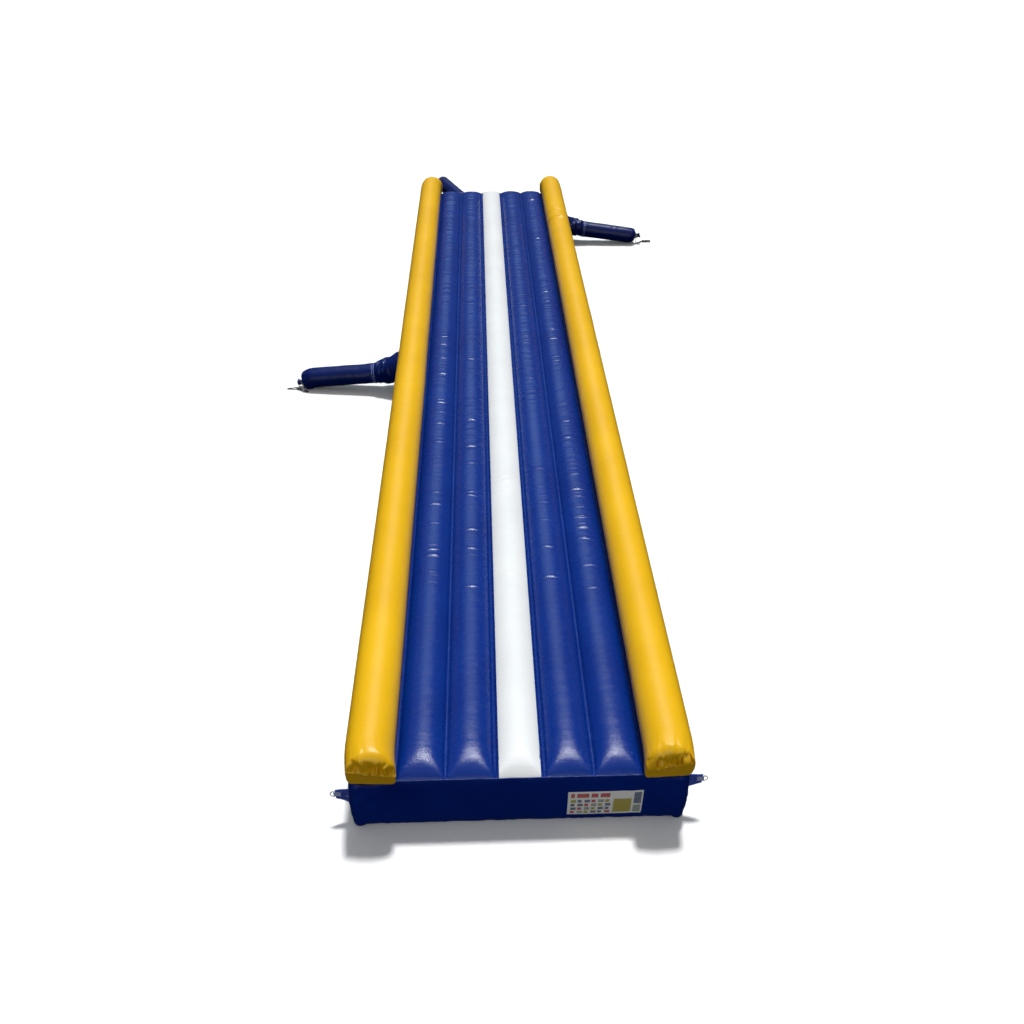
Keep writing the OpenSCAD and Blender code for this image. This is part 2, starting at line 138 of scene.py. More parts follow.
def folds_of(fold, u, v, seed):
    """Creases of a fold given as (height, spacing), at distance u across them."""
    height, spacing = fold
    return height * creases(u / spacing, v, seed)


def fade(d, reach):
    """1 at d = 0, falling smoothly to 0 at reach."""
    return ease(1 - d / reach)


def hump(d, width):
    """Bell curve: 1 at d = 0, about a third at d = width."""
    return np.exp(-((d / width) ** 2))


def around(angle, y, turns, seed):
    """Noise that closes on itself round a circle, with about `turns` features."""
    share = (angle / (2 * math.pi)) % 1.0
    one = noise(share * turns, y, seed)
    two = noise((share - 1) * turns, y, seed)
    return one * (1 - share) + two * share


# ---- Mesh helpers ----


def grid_faces(rows, cols, close_rows, close_cols):
    r = np.arange(rows if close_rows else rows - 1)
    c = np.arange(cols if close_cols else cols - 1)
    r, c = table(r, c)
    r2, c2 = (r + 1) % rows, (c + 1) % cols
    quads = [r * cols + c, r2 * cols + c, r2 * cols + c2, r * cols + c2]
    return np.stack(quads, axis=-1).reshape(-1, 4)


def add_object(name, data):
    thing = bpy.data.objects.new(name, data)
    bpy.context.scene.collection.objects.link(thing)
    return thing


def add_mesh(name, points, faces, material):
    mesh = bpy.data.meshes.new(name)
    mesh.from_pydata(np.asarray(points, float).tolist(), [], [list(map(int, f)) for f in faces])
    mesh.polygons.foreach_set("use_smooth", np.ones(len(mesh.polygons), bool))
    mesh.validate()
    mesh.update()
    mesh.materials.append(material)
    return add_object(name, mesh)


def add_grid(name, points, material, close_rows=False, close_cols=False, flip=False):
    """A quad mesh over an array of points[row, column]."""
    rows, cols = points.shape[:2]
    faces = grid_faces(rows, cols, close_rows, close_cols)
    if flip:
        faces = faces[:, ::-1]
    return add_mesh(name, points.reshape(-1, 3), faces, material)


def dress(piece, body, slot, *nodes):
    """Attaches a piece to its body and hides the CAD nodes that it stands for; the material slot is not used."""
    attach(piece, body)
    if nodes:
        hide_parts(*nodes)
    return piece


def track_grid(name, points, material, slot, *nodes, **grid):
    """A grid that belongs to the track itself."""
    return dress(add_grid(name, points, material, **grid), "track", slot, *nodes)


def dress_sleeve(skin, name):
    """Hides a sleeve's CAD collar and sleeve and bakes the skin's placement into its mesh."""
    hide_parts(name + "_collar", name + "_sleeve")
    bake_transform(skin)


# ---- Materials ----

WAVE_SCALE = 0.314  # turns a spacing in metres into the wave texture's scale
SCRIM_PITCH, RIB_PITCH = 0.0016, 0.0022  # thread spacing of coated fabric and of webbing


def new_material(name, color, roughness, **sockets):
    material = bpy.data.materials.new(name)
    material.use_nodes = True
    shader = material.node_tree.nodes["Principled BSDF"]
    shader.inputs["Base Color"].default_value = (*color, 1)
    shader.inputs["Roughness"].default_value = roughness
    for socket, value in sockets.items():
        shader.inputs[socket.replace("_", " ")].default_value = value
    return material, material.node_tree, shader


def feed(shader, socket, value):
    shader.id_data.links.new(value, shader.inputs[socket])


def tinted(color, times, plus=0.0):
    return tuple(min(1.0, c * times + plus) for c in color)


def add_node(tree, kind, inputs=None, **settings):
    node = tree.nodes.new(kind)
    for name, value in settings.items():
        setattr(node, name, value)
    for name, value in (inputs or {}).items():
        node.inputs[name].default_value = value
    return node


def object_space(tree, scale=(1, 1, 1)):
    coords = add_node(tree, "ShaderNodeTexCoord")
    mapping = add_node(tree, "ShaderNodeMapping", {"Scale": scale})
    tree.links.new(coords.outputs["Object"], mapping.inputs["Vector"])
    return mapping.outputs["Vector"]


def noise_node(tree, scale, detail=4.0, roughness=0.55, stretch=(1, 1, 1)):
    node = add_node(
        tree, "ShaderNodeTexNoise", {"Scale": scale, "Detail": detail, "Roughness": roughness}
    )
    tree.links.new(object_space(tree, stretch), node.inputs["Vector"])
    return node.outputs["Fac"]


def ramp_node(tree, value, stops):
    node = add_node(tree, "ShaderNodeValToRGB")
    ramp = node.color_ramp
    while len(ramp.elements) < len(stops):
        ramp.elements.new(0.5)
    for element, (position, color) in zip(ramp.elements, stops, strict=True):
        element.position = position
        element.color = (*color, 1)
    tree.links.new(value, node.inputs["Fac"])
    return node.outputs["Color"]


def paint(shader, value, *stops):
    """Colours a material by a noise value, through a ramp of (position, colour) stops."""
    feed(shader, "Base Color", ramp_node(shader.id_data, value, stops))


def map_range(tree, value, low, high):
    """Spreads the middle of a noise value over low to high."""
    span = {"From Min": 0.3, "From Max": 0.7, "To Min": low, "To Max": high}
    node = add_node(tree, "ShaderNodeMapRange", span)
    tree.links.new(value, node.inputs["Value"])
    return node.outputs["Result"]


def bump_node(tree, height, distance, strength=1.0, below=None):
    node = add_node(tree, "ShaderNodeBump", {"Strength": strength, "Distance": distance})
    tree.links.new(height, node.inputs["Height"])
    if below is not None:
        tree.links.new(below, node.inputs["Normal"])
    return node.outputs["Normal"]


def weave_height(tree, pitch):
    """Crossed threads of a coated scrim or of webbing, `pitch` metres apart."""
    vector = object_space(tree)
    waves = []
    for direction in ("X", "Y", "Z"):
        wave = add_node(
            tree, "ShaderNodeTexWave", {"Scale": WAVE_SCALE / pitch}, bands_direction=direction
        )
        tree.links.new(vector, wave.inputs["Vector"])
        waves.append(wave.outputs["Fac"])
    total = waves[0]
    for wave in waves[1:]:
        add = add_node(tree, "ShaderNodeMath", operation="ADD")
        for place, value in enumerate((total, wave)):
            tree.links.new(value, add.inputs[place])
        total = add.outputs[0]
    return total


def coated_fabric(
    name, color, shade, roughness, wrinkle_scale, wrinkle_depth, sheen=0.35, coat=0.05
):
    """Glossy PVC-coated fabric: faint scrim, soft wrinkles, scuffs and colour drift."""
    material, tree, shader = new_material(
        name, color, roughness, Coat_Weight=coat, Coat_Roughness=0.3, Specular_IOR_Level=sheen
    )
    paint(shader, noise_node(tree, 1.7, detail=5.0), (0.30, shade), (0.68, color))
    scuffs = noise_node(tree, 9.0, detail=6.0, roughness=0.7, stretch=(1.0, 2.5, 2.0))
    feed(shader, "Roughness", map_range(tree, scuffs, roughness - 0.05, roughness + 0.09))
    wrinkles = noise_node(tree, 1.0, detail=5.0, roughness=0.6, stretch=wrinkle_scale)
    scrim = bump_node(tree, weave_height(tree, SCRIM_PITCH), 0.00012, 0.5)
    feed(shader, "Normal", bump_node(tree, wrinkles, wrinkle_depth, 0.9, below=scrim))
    return material


def webbing_material(name, color):
    """Woven strap: coarse crossed ribs, slightly faded on the crowns."""
    material, tree, shader = new_material(name, color, 0.7, Sheen_Weight=0.2)
    fibres = noise_node(tree, 160.0, detail=3.0)
    paint(shader, fibres, (0.35, color), (0.75, tinted(color, 1.9, 0.01)))
    feed(shader, "Normal", bump_node(tree, weave_height(tree, RIB_PITCH), 0.0005))
    return material


def hard_material(name, color, roughness, metallic, grain):
    """Moulded plastic or plated metal with fine grain and handling marks."""
    material, tree, shader = new_material(name, color, roughness, Metallic=metallic)
    marks = noise_node(tree, 60.0, detail=6.0, roughness=0.7)
    paint(shader, marks, (0.30, tinted(color, 0.72)), (0.62, color))
    feed(shader, "Roughness", map_range(tree, marks, roughness - 0.08, roughness + 0.12))
    fine = noise_node(tree, 900.0, detail=2.0)
    feed(shader, "Normal", bump_node(tree, fine, grain))
    return material


def thread_material(name, color):
    material, tree, shader = new_material(name, color, 0.6, Sheen_Weight=0.3)
    twist = noise_node(tree, 700.0, detail=2.0)
    paint(shader, twist, (0.35, tinted(color, 0.7)), (0.6, color))
    feed(shader, "Normal", bump_node(tree, twist, 0.0003))
    return material


ACROSS = (2.2, 17.0, 5.0)  # wrinkles that run across the track
EVEN = (7.0, 7.0, 7.0)
BLUE = coated_fabric(
    "pvc_blue", (0.000, 0.027, 0.225), (0.000, 0.020, 0.190), 0.25, ACROSS, 0.0022,
    sheen=0.36, coat=0.0,
)
NAVY = coated_fabric(
    "pvc_navy", (0.000, 0.020, 0.220), (0.000, 0.012, 0.165), 0.33, EVEN, 0.004,
    sheen=0.20, coat=0.0,
)
SLEEVE_BLUE = coated_fabric(
    "pvc_sleeve_blue", (0.000, 0.011, 0.115), (0.000, 0.007, 0.090), 0.30, EVEN, 0.004,
    sheen=0.24, coat=0.0,
)
YELLOW = coated_fabric(
    "pvc_yellow", (0.84, 0.48, 0.006), (0.76, 0.42, 0.005), 0.31, EVEN, 0.003,
    sheen=0.36, coat=0.0,
)
# Anchor tab fabric: the pale base colour is painted sheen, much lighter than the other blues to show the shine on
# the tabs.
TAB_BLUE_PAINTED_SHEEN = coated_fabric(
    "pvc_tab_painted_sheen", (0.080, 0.130, 0.560), (0.030, 0.060, 0.360), 0.30, EVEN, 0.005, sheen=0.7
)
WHITE = coated_fabric("pvc_white", (0.76, 0.78, 0.78), (0.71, 0.73, 0.74), 0.42, ACROSS, 0.004)
INNER = coated_fabric("web_grey", (0.25, 0.30, 0.38), (0.21, 0.25, 0.33), 0.5, EVEN, 0.003)
WEBBING = webbing_material("webbing_black", (0.012, 0.012, 0.016))
BLUE_WEBBING = webbing_material("webbing_blue", (0.34, 0.39, 0.72))
PALE_WEBBING = webbing_material("webbing_pale", (0.52, 0.54, 0.58))
BUCKLE = hard_material("buckle_grey", (0.42, 0.43, 0.46), 0.42, 0.0, 0.00015)
STEEL = hard_material("ring_steel", (0.62, 0.63, 0.65), 0.28, 1.0, 0.00005)
ZIP_BLACK = hard_material("zip_moulded", (0.02, 0.02, 0.025), 0.40, 0.0, 0.0001)
THREAD = thread_material("thread_pale", (0.62, 0.65, 0.74))
# Seam tape: a blue a little lighter than the deck's. The extra lightness is partly the tape's own tone and partly
# painted highlight along the welded beads.
SEAM_TAPE_AND_SHEEN = coated_fabric("seam_tape_and_painted_sheen", (0.012, 0.040, 0.25), (0.008, 0.03, 0.20), 0.34, EVEN, 0.002)
LABEL_WHITE = coated_fabric("label_pale", (0.92, 0.93, 0.90), (0.86, 0.87, 0.83), 0.42, EVEN, 0.001)


# ---- Base walls ----

WALL_BULGE, END_BULGE = 0.030, 0.020
SIDE_FOOT, END_FOOT = 0.026, -0.010
WALL_ROWS = 26
CORNER_SWELL = 0.014
# Folds as (height, spacing) in metres
BROAD_FOLD, CORNER_PULL = (0.0035, 0.42), (0.0080, 0.070)
TOP_PUCKER, HEM_PUCKER = (0.0035, 0.050), (0.0050, 0.070)
MARGIN_PUCKER = (0.0025, 0.06)
ZIP_FLAT = (0.31, 0.04, 0.12)  # half length, half height and margin of the flat patch
CORNER_ARC = CORNER_R * math.pi / 2
STRAIGHT_W, STRAIGHT_L = HALF_W - CORNER_R, HALF_L - CORNER_R  # half lengths between corners
FRONT_SEED, REAR_SEED = 10, 12
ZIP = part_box("zip_tapes")


def superellipse(angle, power):
    """Radius share round a rounded square: a circle at power 2, squarer above."""
    return (np.abs(np.cos(angle)) ** power + np.abs(np.sin(angle)) ** power) ** (-1 / power)


def squashed(angle):
    """Radius share round a tube: round above, flatter where it sits on its margin."""
    return superellipse(angle, 2 + 0.5 * unit(-1.6 * np.sin(angle)))


SEAT_ANGLE = np.linspace(-math.pi / 2, 0, 90)
SEAT_R = (TUBE_R + 0.0015) * squashed(SEAT_ANGLE)


def margin_top(x):
    """Height of the base's top edge at x: level, but bowed down under a side tube."""
    off = np.abs(np.abs(x) - TUBE_X)
    bowl = TUBE_Z + np.interp(off, SEAT_R * np.cos(SEAT_ANGLE), SEAT_R * np.sin(SEAT_ANGLE))
    return np.where(off < TUBE_R, np.minimum(bowl, DECK_Z), DECK_Z)


def flat_zone(x, y, z):
    """1 where the zip lies flat on the rear wall, fading to 0 round it."""
    zip_x = np.maximum(np.abs(x - (ZIP[0].x + ZIP[1].x) / 2) - ZIP_FLAT[0], 0)
    zip_z = np.maximum(np.abs(z - (ZIP[0].z + ZIP[1].z) / 2) - ZIP_FLAT[1], 0)
    return fade(np.hypot(zip_x, zip_z), ZIP_FLAT[2]) * (y > HALF_L - 0.01)


def foot_offset(normal):
    """How far a wall's foot stands out: spread along the sides, tucked in at the ends."""
    return END_FOOT + (SIDE_FOOT - END_FOOT) * np.abs(normal[:, :1])


def wall_offset(s, v, x, y, z, bulge, corner, foot, seed):
    """How far the wall stands out at distance s along it and share v of its height."""
    round_off = unit(np.sin(math.pi * v)) ** 0.5
    full = bulge + (WALL_BULGE - bulge) * fade(corner, 0.35)
    foot_out = foot * (v < 0.5)
    soft = foot_out + (full - foot_out) * round_off
    if bulge == END_BULGE:
        soft = soft + CORNER_SWELL * np.sin(math.pi * unit(corner / CORNER_ARC)) * (v < 0.95)
    folds = BROAD_FOLD[0] * noise(s / BROAD_FOLD[1], v * 1.3, seed) * round_off
    top = folds_of(TOP_PUCKER, s, v * 2, seed + 1) * fade((1 - v) * DECK_Z, 0.07)
    hem = folds_of(HEM_PUCKER, s, v * 2, seed + 2) * fade(v * DECK_Z, 0.09)
    pulled = folds_of(CORNER_PULL, corner - 0.75 * z, (corner + z) / 0.45, seed + 3)
    pulled = pulled * fade(corner, 0.60) * round_off
    calm = 1 - flat_zone(x, y, z)
    loose = (folds + top + hem + pulled) * unit(corner / 0.05) * unit(v / 0.02)
    return (soft + loose) * calm


def wall_points(xy, normal, bulge, seed):
    """Wall surface over an outline of points and outward normals."""
    s = np.concatenate([[0], np.cumsum(np.hypot(*np.diff(xy, axis=0).T))])
    v = np.linspace(0, 1, WALL_ROWS)
    v[1:3] = [0.012, 0.035]
    s2, v2 = table(s, v)
    x, y = xy[:, :1] + 0 * v2, xy[:, 1:] + 0 * v2
    z = v2 * margin_top(x)
    corner = np.minimum(s2, s2[-1:] - s2)
    off = wall_offset(s2, v2, x, y, z, bulge, corner, foot_offset(normal), seed)
    return xyz(x + off * normal[:, :1], y + off * normal[:, 1:], z)


def end_outline(side):
    """Outline of an end wall with both its corners, and its normals."""
    turn = np.linspace(0, math.pi / 2, 9)
    across = np.linspace(-STRAIGHT_W, STRAIGHT_W, 130)[1:-1]
    left = np.stack([-np.cos(turn), np.sin(turn)], axis=1)
    right = np.stack([np.sin(turn), np.cos(turn)], axis=1)
    normal = np.concatenate([left, np.stack([0 * across, 1 + 0 * across], axis=1), right])
    rows = len(turn)
    xy = CORNER_R * normal + [0, STRAIGHT_L]
    xy[:rows, 0] -= STRAIGHT_W
    xy[-rows:, 0] += STRAIGHT_W
    xy[rows:-rows, 0] = across
    return xy * [1, side], normal * [1, side]


def make_walls():
    for side, name in ((-1, "front_wall"), (1, "rear_wall")):
        xy, normal = end_outline(side)
        points = wall_points(xy, normal, END_BULGE, FRONT_SEED if side < 0 else REAR_SEED)
        track_grid(name + "_skin", points, NAVY, "pvc_navy", name, flip=side > 0)
    y = np.linspace(-STRAIGHT_L, STRAIGHT_L, 560)
    for side, name in ((-1, "left_wall"), (1, "right_wall")):
        xy = np.stack([np.full(len(y), side * HALF_W), y], axis=1)
        normal = np.stack([np.full(len(y), side), 0 * y], axis=1).astype(float)
        points = wall_points(xy, normal, WALL_BULGE, 31 + side)
        track_grid(name + "_skin", points, NAVY, "pvc_navy", name, flip=side < 0)


def make_floor_skin():
    """Underside sheet, in to the centre line from the tucked foot of the walls."""
    rim = []
    for side in (-1, 1):
        xy, normal = end_outline(side)
        edge = xy + foot_offset(normal) * normal
        rim.append(edge if side < 0 else edge[::-1])
    rim = np.concatenate(rim)
    shares = np.linspace(1, 0.02, 14)
    rows = []
    for share in shares:
        lift = 0.0004 * (1 + noise(rim[:, 0] * 3, rim[:, 1] * 3 + share * 9, 5)) * (share < 1)
        rows.append(xyz(rim[:, 0] * share, rim[:, 1] * (0.94 + 0.06 * share), lift))
    track_grid("floor_skin", np.stack(rows), NAVY, "pvc_navy", "floor_sheet", close_cols=True)


def make_margins():
    """Top panel on each side, under and beside the tube."""
    y = np.linspace(-HALF_L, HALF_L, 420)
    t = np.linspace(0, 1, 24)
    t2, y2 = np.meshgrid(t, y)
    beyond = np.clip(np.abs(y2) - STRAIGHT_L, 0, CORNER_R)
    outer = STRAIGHT_W + np.sqrt(CORNER_R**2 - beyond**2)
    for side, name in ((-1, "left_top_margin"), (1, "right_top_margin")):
        x = DECK_HALF_W + (outer - DECK_HALF_W) * t2
        pucker = folds_of(MARGIN_PUCKER, y2, t2, 41 + side) * np.sin(math.pi * t2)
        z = margin_top(x) - np.abs(pucker)
        points = xyz(side * x, y2, z)
        track_grid(name + "_skin", points, NAVY, "pvc_navy", name, flip=side < 0)


# ---- Deck ----

ARCH_R = ((CHAMBER_W / 2) ** 2 + CROWN_H**2) / (2 * CROWN_H)
END_ZONE = 0.42
# Folds as (height, spacing) in metres
SWELL, LADDER, FINE, END_GATHER = (0.0022, 1.1), (0.0028, 0.070), (0.0010, 0.034), (0.0050, 0.030)
TUCK_H, TUCK_W = 0.014, 0.0065
GROOVE_H, GROOVE_W, GROOVE_IN = 0.010, 0.006, 0.009
FOLDS_FROM, FOLDS_RUN = -4.6, 2.0  # the deck is smoother towards its front end
ARCS_BY_CHAMBER = {0: 14, 1: 60, 2: 90}
ARCS_FROM, ARCS_TO = -4.2, 5.45
CREST_W, TROUGH_W, TROUGH_AT = 0.013, 0.015, 0.021


def deck_rows():
    """Places along the track: close together at both sloping ends."""
    end = np.linspace(0, 1, 34) ** 1.25 * END_ZONE
    middle = np.linspace(-HALF_L + END_ZONE, HALF_L - END_ZONE, 1300)[1:-1]
    return np.concatenate([-HALF_L + end, middle, (HALF_L - end)[::-1]])


def fold_arcs(x, y, index):
    """Thin arched wrinkles across a chamber, mostly slight, with a few sharp ones."""
    height = np.zeros_like(x)
    for n in range(ARCS_BY_CHAMBER[abs(index)]):
        pick = lattice(np.arange(6.0), n * 1.0, 131 + index)
        at = ARCS_FROM + (ARCS_TO - ARCS_FROM) * pick[0]
        rows = np.abs(y[:, 0] - at) < 0.08
        middle = (pick[1] - 0.5) * 0.09
        reach = 0.11 + 0.09 * pick[2]
        span = unit(1 - ((x[rows] - middle) / reach) ** 4)
        drift = (pick[5] - 0.5) * 0.12 * (x[rows] - middle)
        d = y[rows] - at + (0.3 + pick[3]) * (x[rows] - middle) ** 2 + drift
        crest = hump(d, CREST_W) - 0.6 * hump(d + TROUGH_AT, TROUGH_W)
        height[rows] += (0.0014 + 0.0034 * pick[4] ** 2) * crest * span
    return height


def chamber_height(x, y, index):
    """Height of a chamber above the deck seams: an arch, drawn down to each end seam."""
    arch = np.sqrt(np.clip(ARCH_R**2 - x**2, 0, None)) - (ARCH_R - CROWN_H)
    arch = np.clip(arch, 0, None)
    d = np.clip(HALF_L - np.abs(y), 0, None)
    end = 1.15 * CROWN_H * (d / np.where(y < 0, FRONT_RUN, REAR_RUN)) ** 0.8
    near, far = np.maximum(arch, 1e-6), np.maximum(end, 1e-6)
    height = (near**-3 + far**-3) ** (-1 / 3)
    edge = np.abs(x) / (CHAMBER_W / 2)
    inside = unit(1 - edge) ** 0.5 * unit(d / 0.03)
    swell = SWELL[0] * noise(y / SWELL[1], x * 2 + index * 7, 51 + index)
    patch = 0.15 + 0.85 * unit(noise(y / 0.9, index * 3.0 + 0 * x, 61) + 0.25)
    patch = patch * (0.12 + 0.88 * unit((y - FOLDS_FROM) / FOLDS_RUN))
    outer = 0.5 + 0.5 * min(2, abs(index))
    bent = y / LADDER[1] + 0.35 * np.sin(x * 9 + y * 2)
    folds = LADDER[0] * creases(bent, x * 3.2 + index * 5, 71 + index)
    fine = folds_of(FINE, y, x * 7 + index * 9, 81 + index)
    ladder = (folds + fine) * patch * outer
    gather = folds_of(END_GATHER, x, y * 1.5, 91 + index) * fade(d, 0.16) * edge**1.5
    pinch = edge * CHAMBER_W / 2 - CHAMBER_W / 2 + 0.008 + 0.15 * d
    tuck = TUCK_H * hump(pinch, TUCK_W) * fade(np.abs(d - 0.09), 0.12)
    from_seam = CHAMBER_W / 2 - np.abs(x)
    groove = GROOVE_H * hump(from_seam - GROOVE_IN, GROOVE_W) * unit(d / 0.06)
    return height - groove + (swell + ladder + gather + tuck + fold_arcs(x, y, index)) * inside


def make_deck():
    names = (
        "left_outer_chamber", "left_inner_chamber", "centre_chamber",
        "right_inner_chamber", "right_outer_chamber",
    )
    y = deck_rows()
    x = CHAMBER_W / 2 * np.sin(np.linspace(-math.pi / 2, math.pi / 2, 33))
    x2, y2 = np.meshgrid(x, y)
    for place, name in enumerate(names):
        index = place - 2
        z = DECK_Z + chamber_height(x2, y2, index)
        points = xyz(x2 + index * CHAMBER_W, y2, z)
        track_grid(name + "_skin", points, BLUE, "pvc_blue", name)


def make_stripe():
    """White panel welded over the middle chamber from seam to seam."""
    y = deck_rows()
    x = np.linspace(-STRIPE_HALF_W, STRIPE_HALF_W, 29)
    x2, y2 = np.meshgrid(x, y)
    rim = fade(STRIPE_HALF_W - np.abs(x2), 0.004)
    z = DECK_Z + chamber_height(x2, y2, 0) + 0.0016 * (1 - rim) + 0.0002
    track_grid("centre_stripe_panel", xyz(x2, y2, z), WHITE, "pvc_white", "centre_stripe")


def bead(name, path, radius, material, wobble, seed):
    """Thin round bead along a path of points."""
    path = np.asarray(path, float)
    tangent = normed(np.gradient(path, axis=0))
    flat = normed(np.cross(tangent, [0.0, 0.0, 1.0]))
    rise = np.cross(flat, tangent)
    angle = circle(10)
    r = radius * (1 + wobble * noise(np.arange(len(path))[:, None] * 0.35, angle[None] * 2, seed))
    return add_grid(name, ring_points(path, flat, rise, r, angle), material, close_cols=True)


def make_seams():
    """Welded seam beads: down each deck valley and along both end edges."""
    y = np.linspace(-HALF_L + 0.004, HALF_L - 0.004, 500)
    for number, place in enumerate((-2.5, -1.5, -0.5, 0.5, 1.5, 2.5), start=1):
        x = np.full(len(y), place * CHAMBER_W) + 0.0012 * noise(y / 0.12, 0 * y, 100 + number)
        path = xyz(x, y, np.full(len(y), DECK_Z + 0.001))
        # The ±1.5 valley beads use the lighter seam tape, which is partly painted highlight. The other beads use
        # the deck blue.
        thin, finish = (0.0030, SEAM_TAPE_AND_SHEEN) if abs(place) == 1.5 else (0.0020, BLUE)
        dress(bead(f"deck_seam_{number}", path, thin, finish, 0.35, number), "track", "pvc_blue")
    x = np.linspace(-DECK_HALF_W, DECK_HALF_W, 160)
    for side, name in ((-1, "front_deck_seam"), (1, "rear_deck_seam")):
        y = np.full(len(x), side * (HALF_L + 0.001))
        path = xyz(x, y, DECK_Z + 0.0012 * noise(x / 0.07, 0 * x, 9))
        # End-edge beads in the lighter seam tape, which is partly painted highlight.
        dress(bead(name, path, 0.0034, SEAM_TAPE_AND_SHEEN, 0.3, 3), "track", "pvc_blue")


# ---- Side tubes ----

TURN = circle(224)
BARREL_SKIN_END = 5.80
END_DOME = 0.053
BEND_L = 0.105
KINKS = ((4.02, 0.034), (4.36, 0.015))  # place along the right tube and depth
SEAM_LOW, SEAM_TILT = 0.006, 0.20  # line of the puckered seam over a tube's end face
PUCKER_H, PUCKER_SPACING, PUCKER_REACH = 0.046, 0.026, 0.110
END_LEAN = {-1: 0.020, 1: 0.012}  # how far each tube's ends lean towards the deck
END_POWER = 2.8  # squareness of the ends' lower half
BLEND_ROWS = 16  # rings from the barrel skin's end to the rim


def barrel_radius(angle, y, side, seed):
    """Radius of a tube's skin away from its ends."""
    radius = TUBE_R * squashed(angle) + 0.0016 * around(angle, y / 0.8, 5, seed + 9)
    folds = creases(y / 0.06 + np.sin(angle) * 0.8, angle * 1.2 + side, seed + 12)
    patch = unit(noise(y / 1.3, 0 * y + side * 3, seed + 14) - 0.15)
    radius = radius + 0.0012 * folds * patch
    if side > 0:
        for at, depth in KINKS:
            d = y - at + 0.06 * np.cos(angle) - 0.012 * around(angle, 0 * y, 5, seed + 30)
            dent = hump(d, 0.05) + 0.8 * hump(d, 0.016)
            ripple = creases(d / 0.035, angle * 1.3, seed + 31) * fade(np.abs(d), 0.16)
            upper = 0.45 + 0.55 * unit(np.sin(angle) + 0.35)
            radius = radius - depth * upper * (0.55 * dent - 0.22 * ripple)
    return radius


def end_depth(out, up, share, seed):
    """How far a tube's end stands beyond its wall, at a place out and up from its axis.

    The top fabric bends down to a puckered seam that runs across the end, lower towards the deck;
    the panel below the seam is plain and leans back.
    """
    seam = SEAM_LOW + SEAM_TILT * out
    above = up - seam + 0.006 * noise(out / 0.035, 0 * up, seed + 40)
    room = np.sqrt(np.clip(TUBE_R**2 - out**2, 0, None)) - seam
    room = np.clip(room, 0.03, None)
    bend = np.minimum(0.85 * room, BEND_L)
    q = unit(above / room)
    top = END_DOME - bend * (1 - unit(1 - q**2.4) ** (1 / 2.4))
    low = END_DOME - 0.006 + 0.20 * np.minimum(above, 0)
    rim = unit((share - 0.82) / 0.18)
    shell = 0.014 + (END_DOME - 0.010) * np.sqrt(unit(1 - rim**2.4))
    lip = np.where(above > 0, top, low + 0.006 * unit(1 + above / 0.006))
    depth = np.minimum(lip, shell + 0.3 * np.clip(above, 0, 0.1))
    wander = out + 0.25 * above * noise(out / 0.06, above / 0.05, seed + 41)
    pleat = (1 - np.abs(noise(wander / PUCKER_SPACING, above / 0.14, seed + 42))) ** 1.8
    uneven = 0.70 + 0.30 * unit(0.6 + noise(out / 0.07, 0 * up, seed + 43))
    gathers = PUCKER_H * pleat * uneven * fade(np.abs(above - 0.02), PUCKER_REACH)
    gathers = gathers * (above > -0.004)
    under = 0.0030 * creases(out / 0.030, above / 0.2, seed + 44) * fade(-above, 0.06)
    return depth - gathers * unit((1.04 - share) / 0.08) + under * (above <= 0)


def boxed(angle):
    """Squarer lower half for a tube's end, where it is seated on the base."""
    return np.where(np.sin(angle) < 0, superellipse(angle, END_POWER), 1.0)


def end_points(side, end, seed):
    """A tube's end, from the barrel skin's last ring, over the rim, to the middle of the face."""
    share = np.concatenate(
        [np.ones(BLEND_ROWS), np.linspace(1, 0.80, 26)[1:], np.linspace(0.79, 0.01, 52)]
    )
    s2, a2 = table(share, TURN)
    radius = barrel_radius(a2, 0 * a2 + end * BARREL_SKIN_END, side, seed)
    run = np.linspace(0, 1, BLEND_ROWS)[:, None]
    first = slice(BLEND_ROWS)
    radius[first] *= 1 + (boxed(a2[first]) - 1) * run**1.5
    radius[BLEND_ROWS:] *= boxed(a2[BLEND_ROWS:])
    out, up = s2 * radius * np.cos(a2), s2 * radius * np.sin(a2)
    up = np.maximum(up, DECK_Z - TUBE_Z - 0.0015)
    outward = out * side
    y = HALF_L + end_depth(outward, up, s2, seed)
    lean = side * END_LEAN[side] * np.ones_like(out)
    lean[first] *= run**2
    out = out - lean
    y[first] = BARREL_SKIN_END + run * (y[first] - BARREL_SKIN_END)
    back = HALF_L - y[first]
    ridges = (1 - np.abs(around(a2[first], back / 0.5, 34, seed + 45))) ** 2
    gathered = 0.003 * ridges * fade(back, 0.10) * unit(np.sin(a2[first]) + 0.25)
    out[first] -= gathered * np.cos(a2[first])
    up[first] -= gathered * np.sin(a2[first])
    points = xyz(side * TUBE_X + out, end * y, TUBE_Z + up)
    for _ in range(3):
        points[8:40] = (points[7:39] + 2 * points[8:40] + points[9:41]) / 4
    return points


def make_tubes():
    y = np.linspace(-BARREL_SKIN_END, BARREL_SKIN_END, 700)
    y = np.sort(np.concatenate([y, np.linspace(KINKS[0][0] - 0.15, KINKS[1][0] + 0.15, 131)]))
    y2, a2 = table(y, TURN)
    for side, name, seed in ((-1, "left_tube", 200), (1, "right_tube", 300)):
        radius = barrel_radius(a2, y2, side, seed)
        points = xyz(side * TUBE_X + radius * np.cos(a2), y2, TUBE_Z + radius * np.sin(a2))
        barrel = track_grid(
            name + "_barrel", points, YELLOW, "pvc_yellow", name, close_cols=True, flip=True
        )
        for end, cap, shift in ((-1, "front_cap", 0), (1, "rear_cap", 20)):
            points = end_points(side, end, seed + shift)
            node = f"{name}_{cap}"
            face = track_grid(
                node + "_skin", points, YELLOW, "pvc_yellow", node, close_cols=True, flip=end > 0
            )


# ---- Sleeves ----

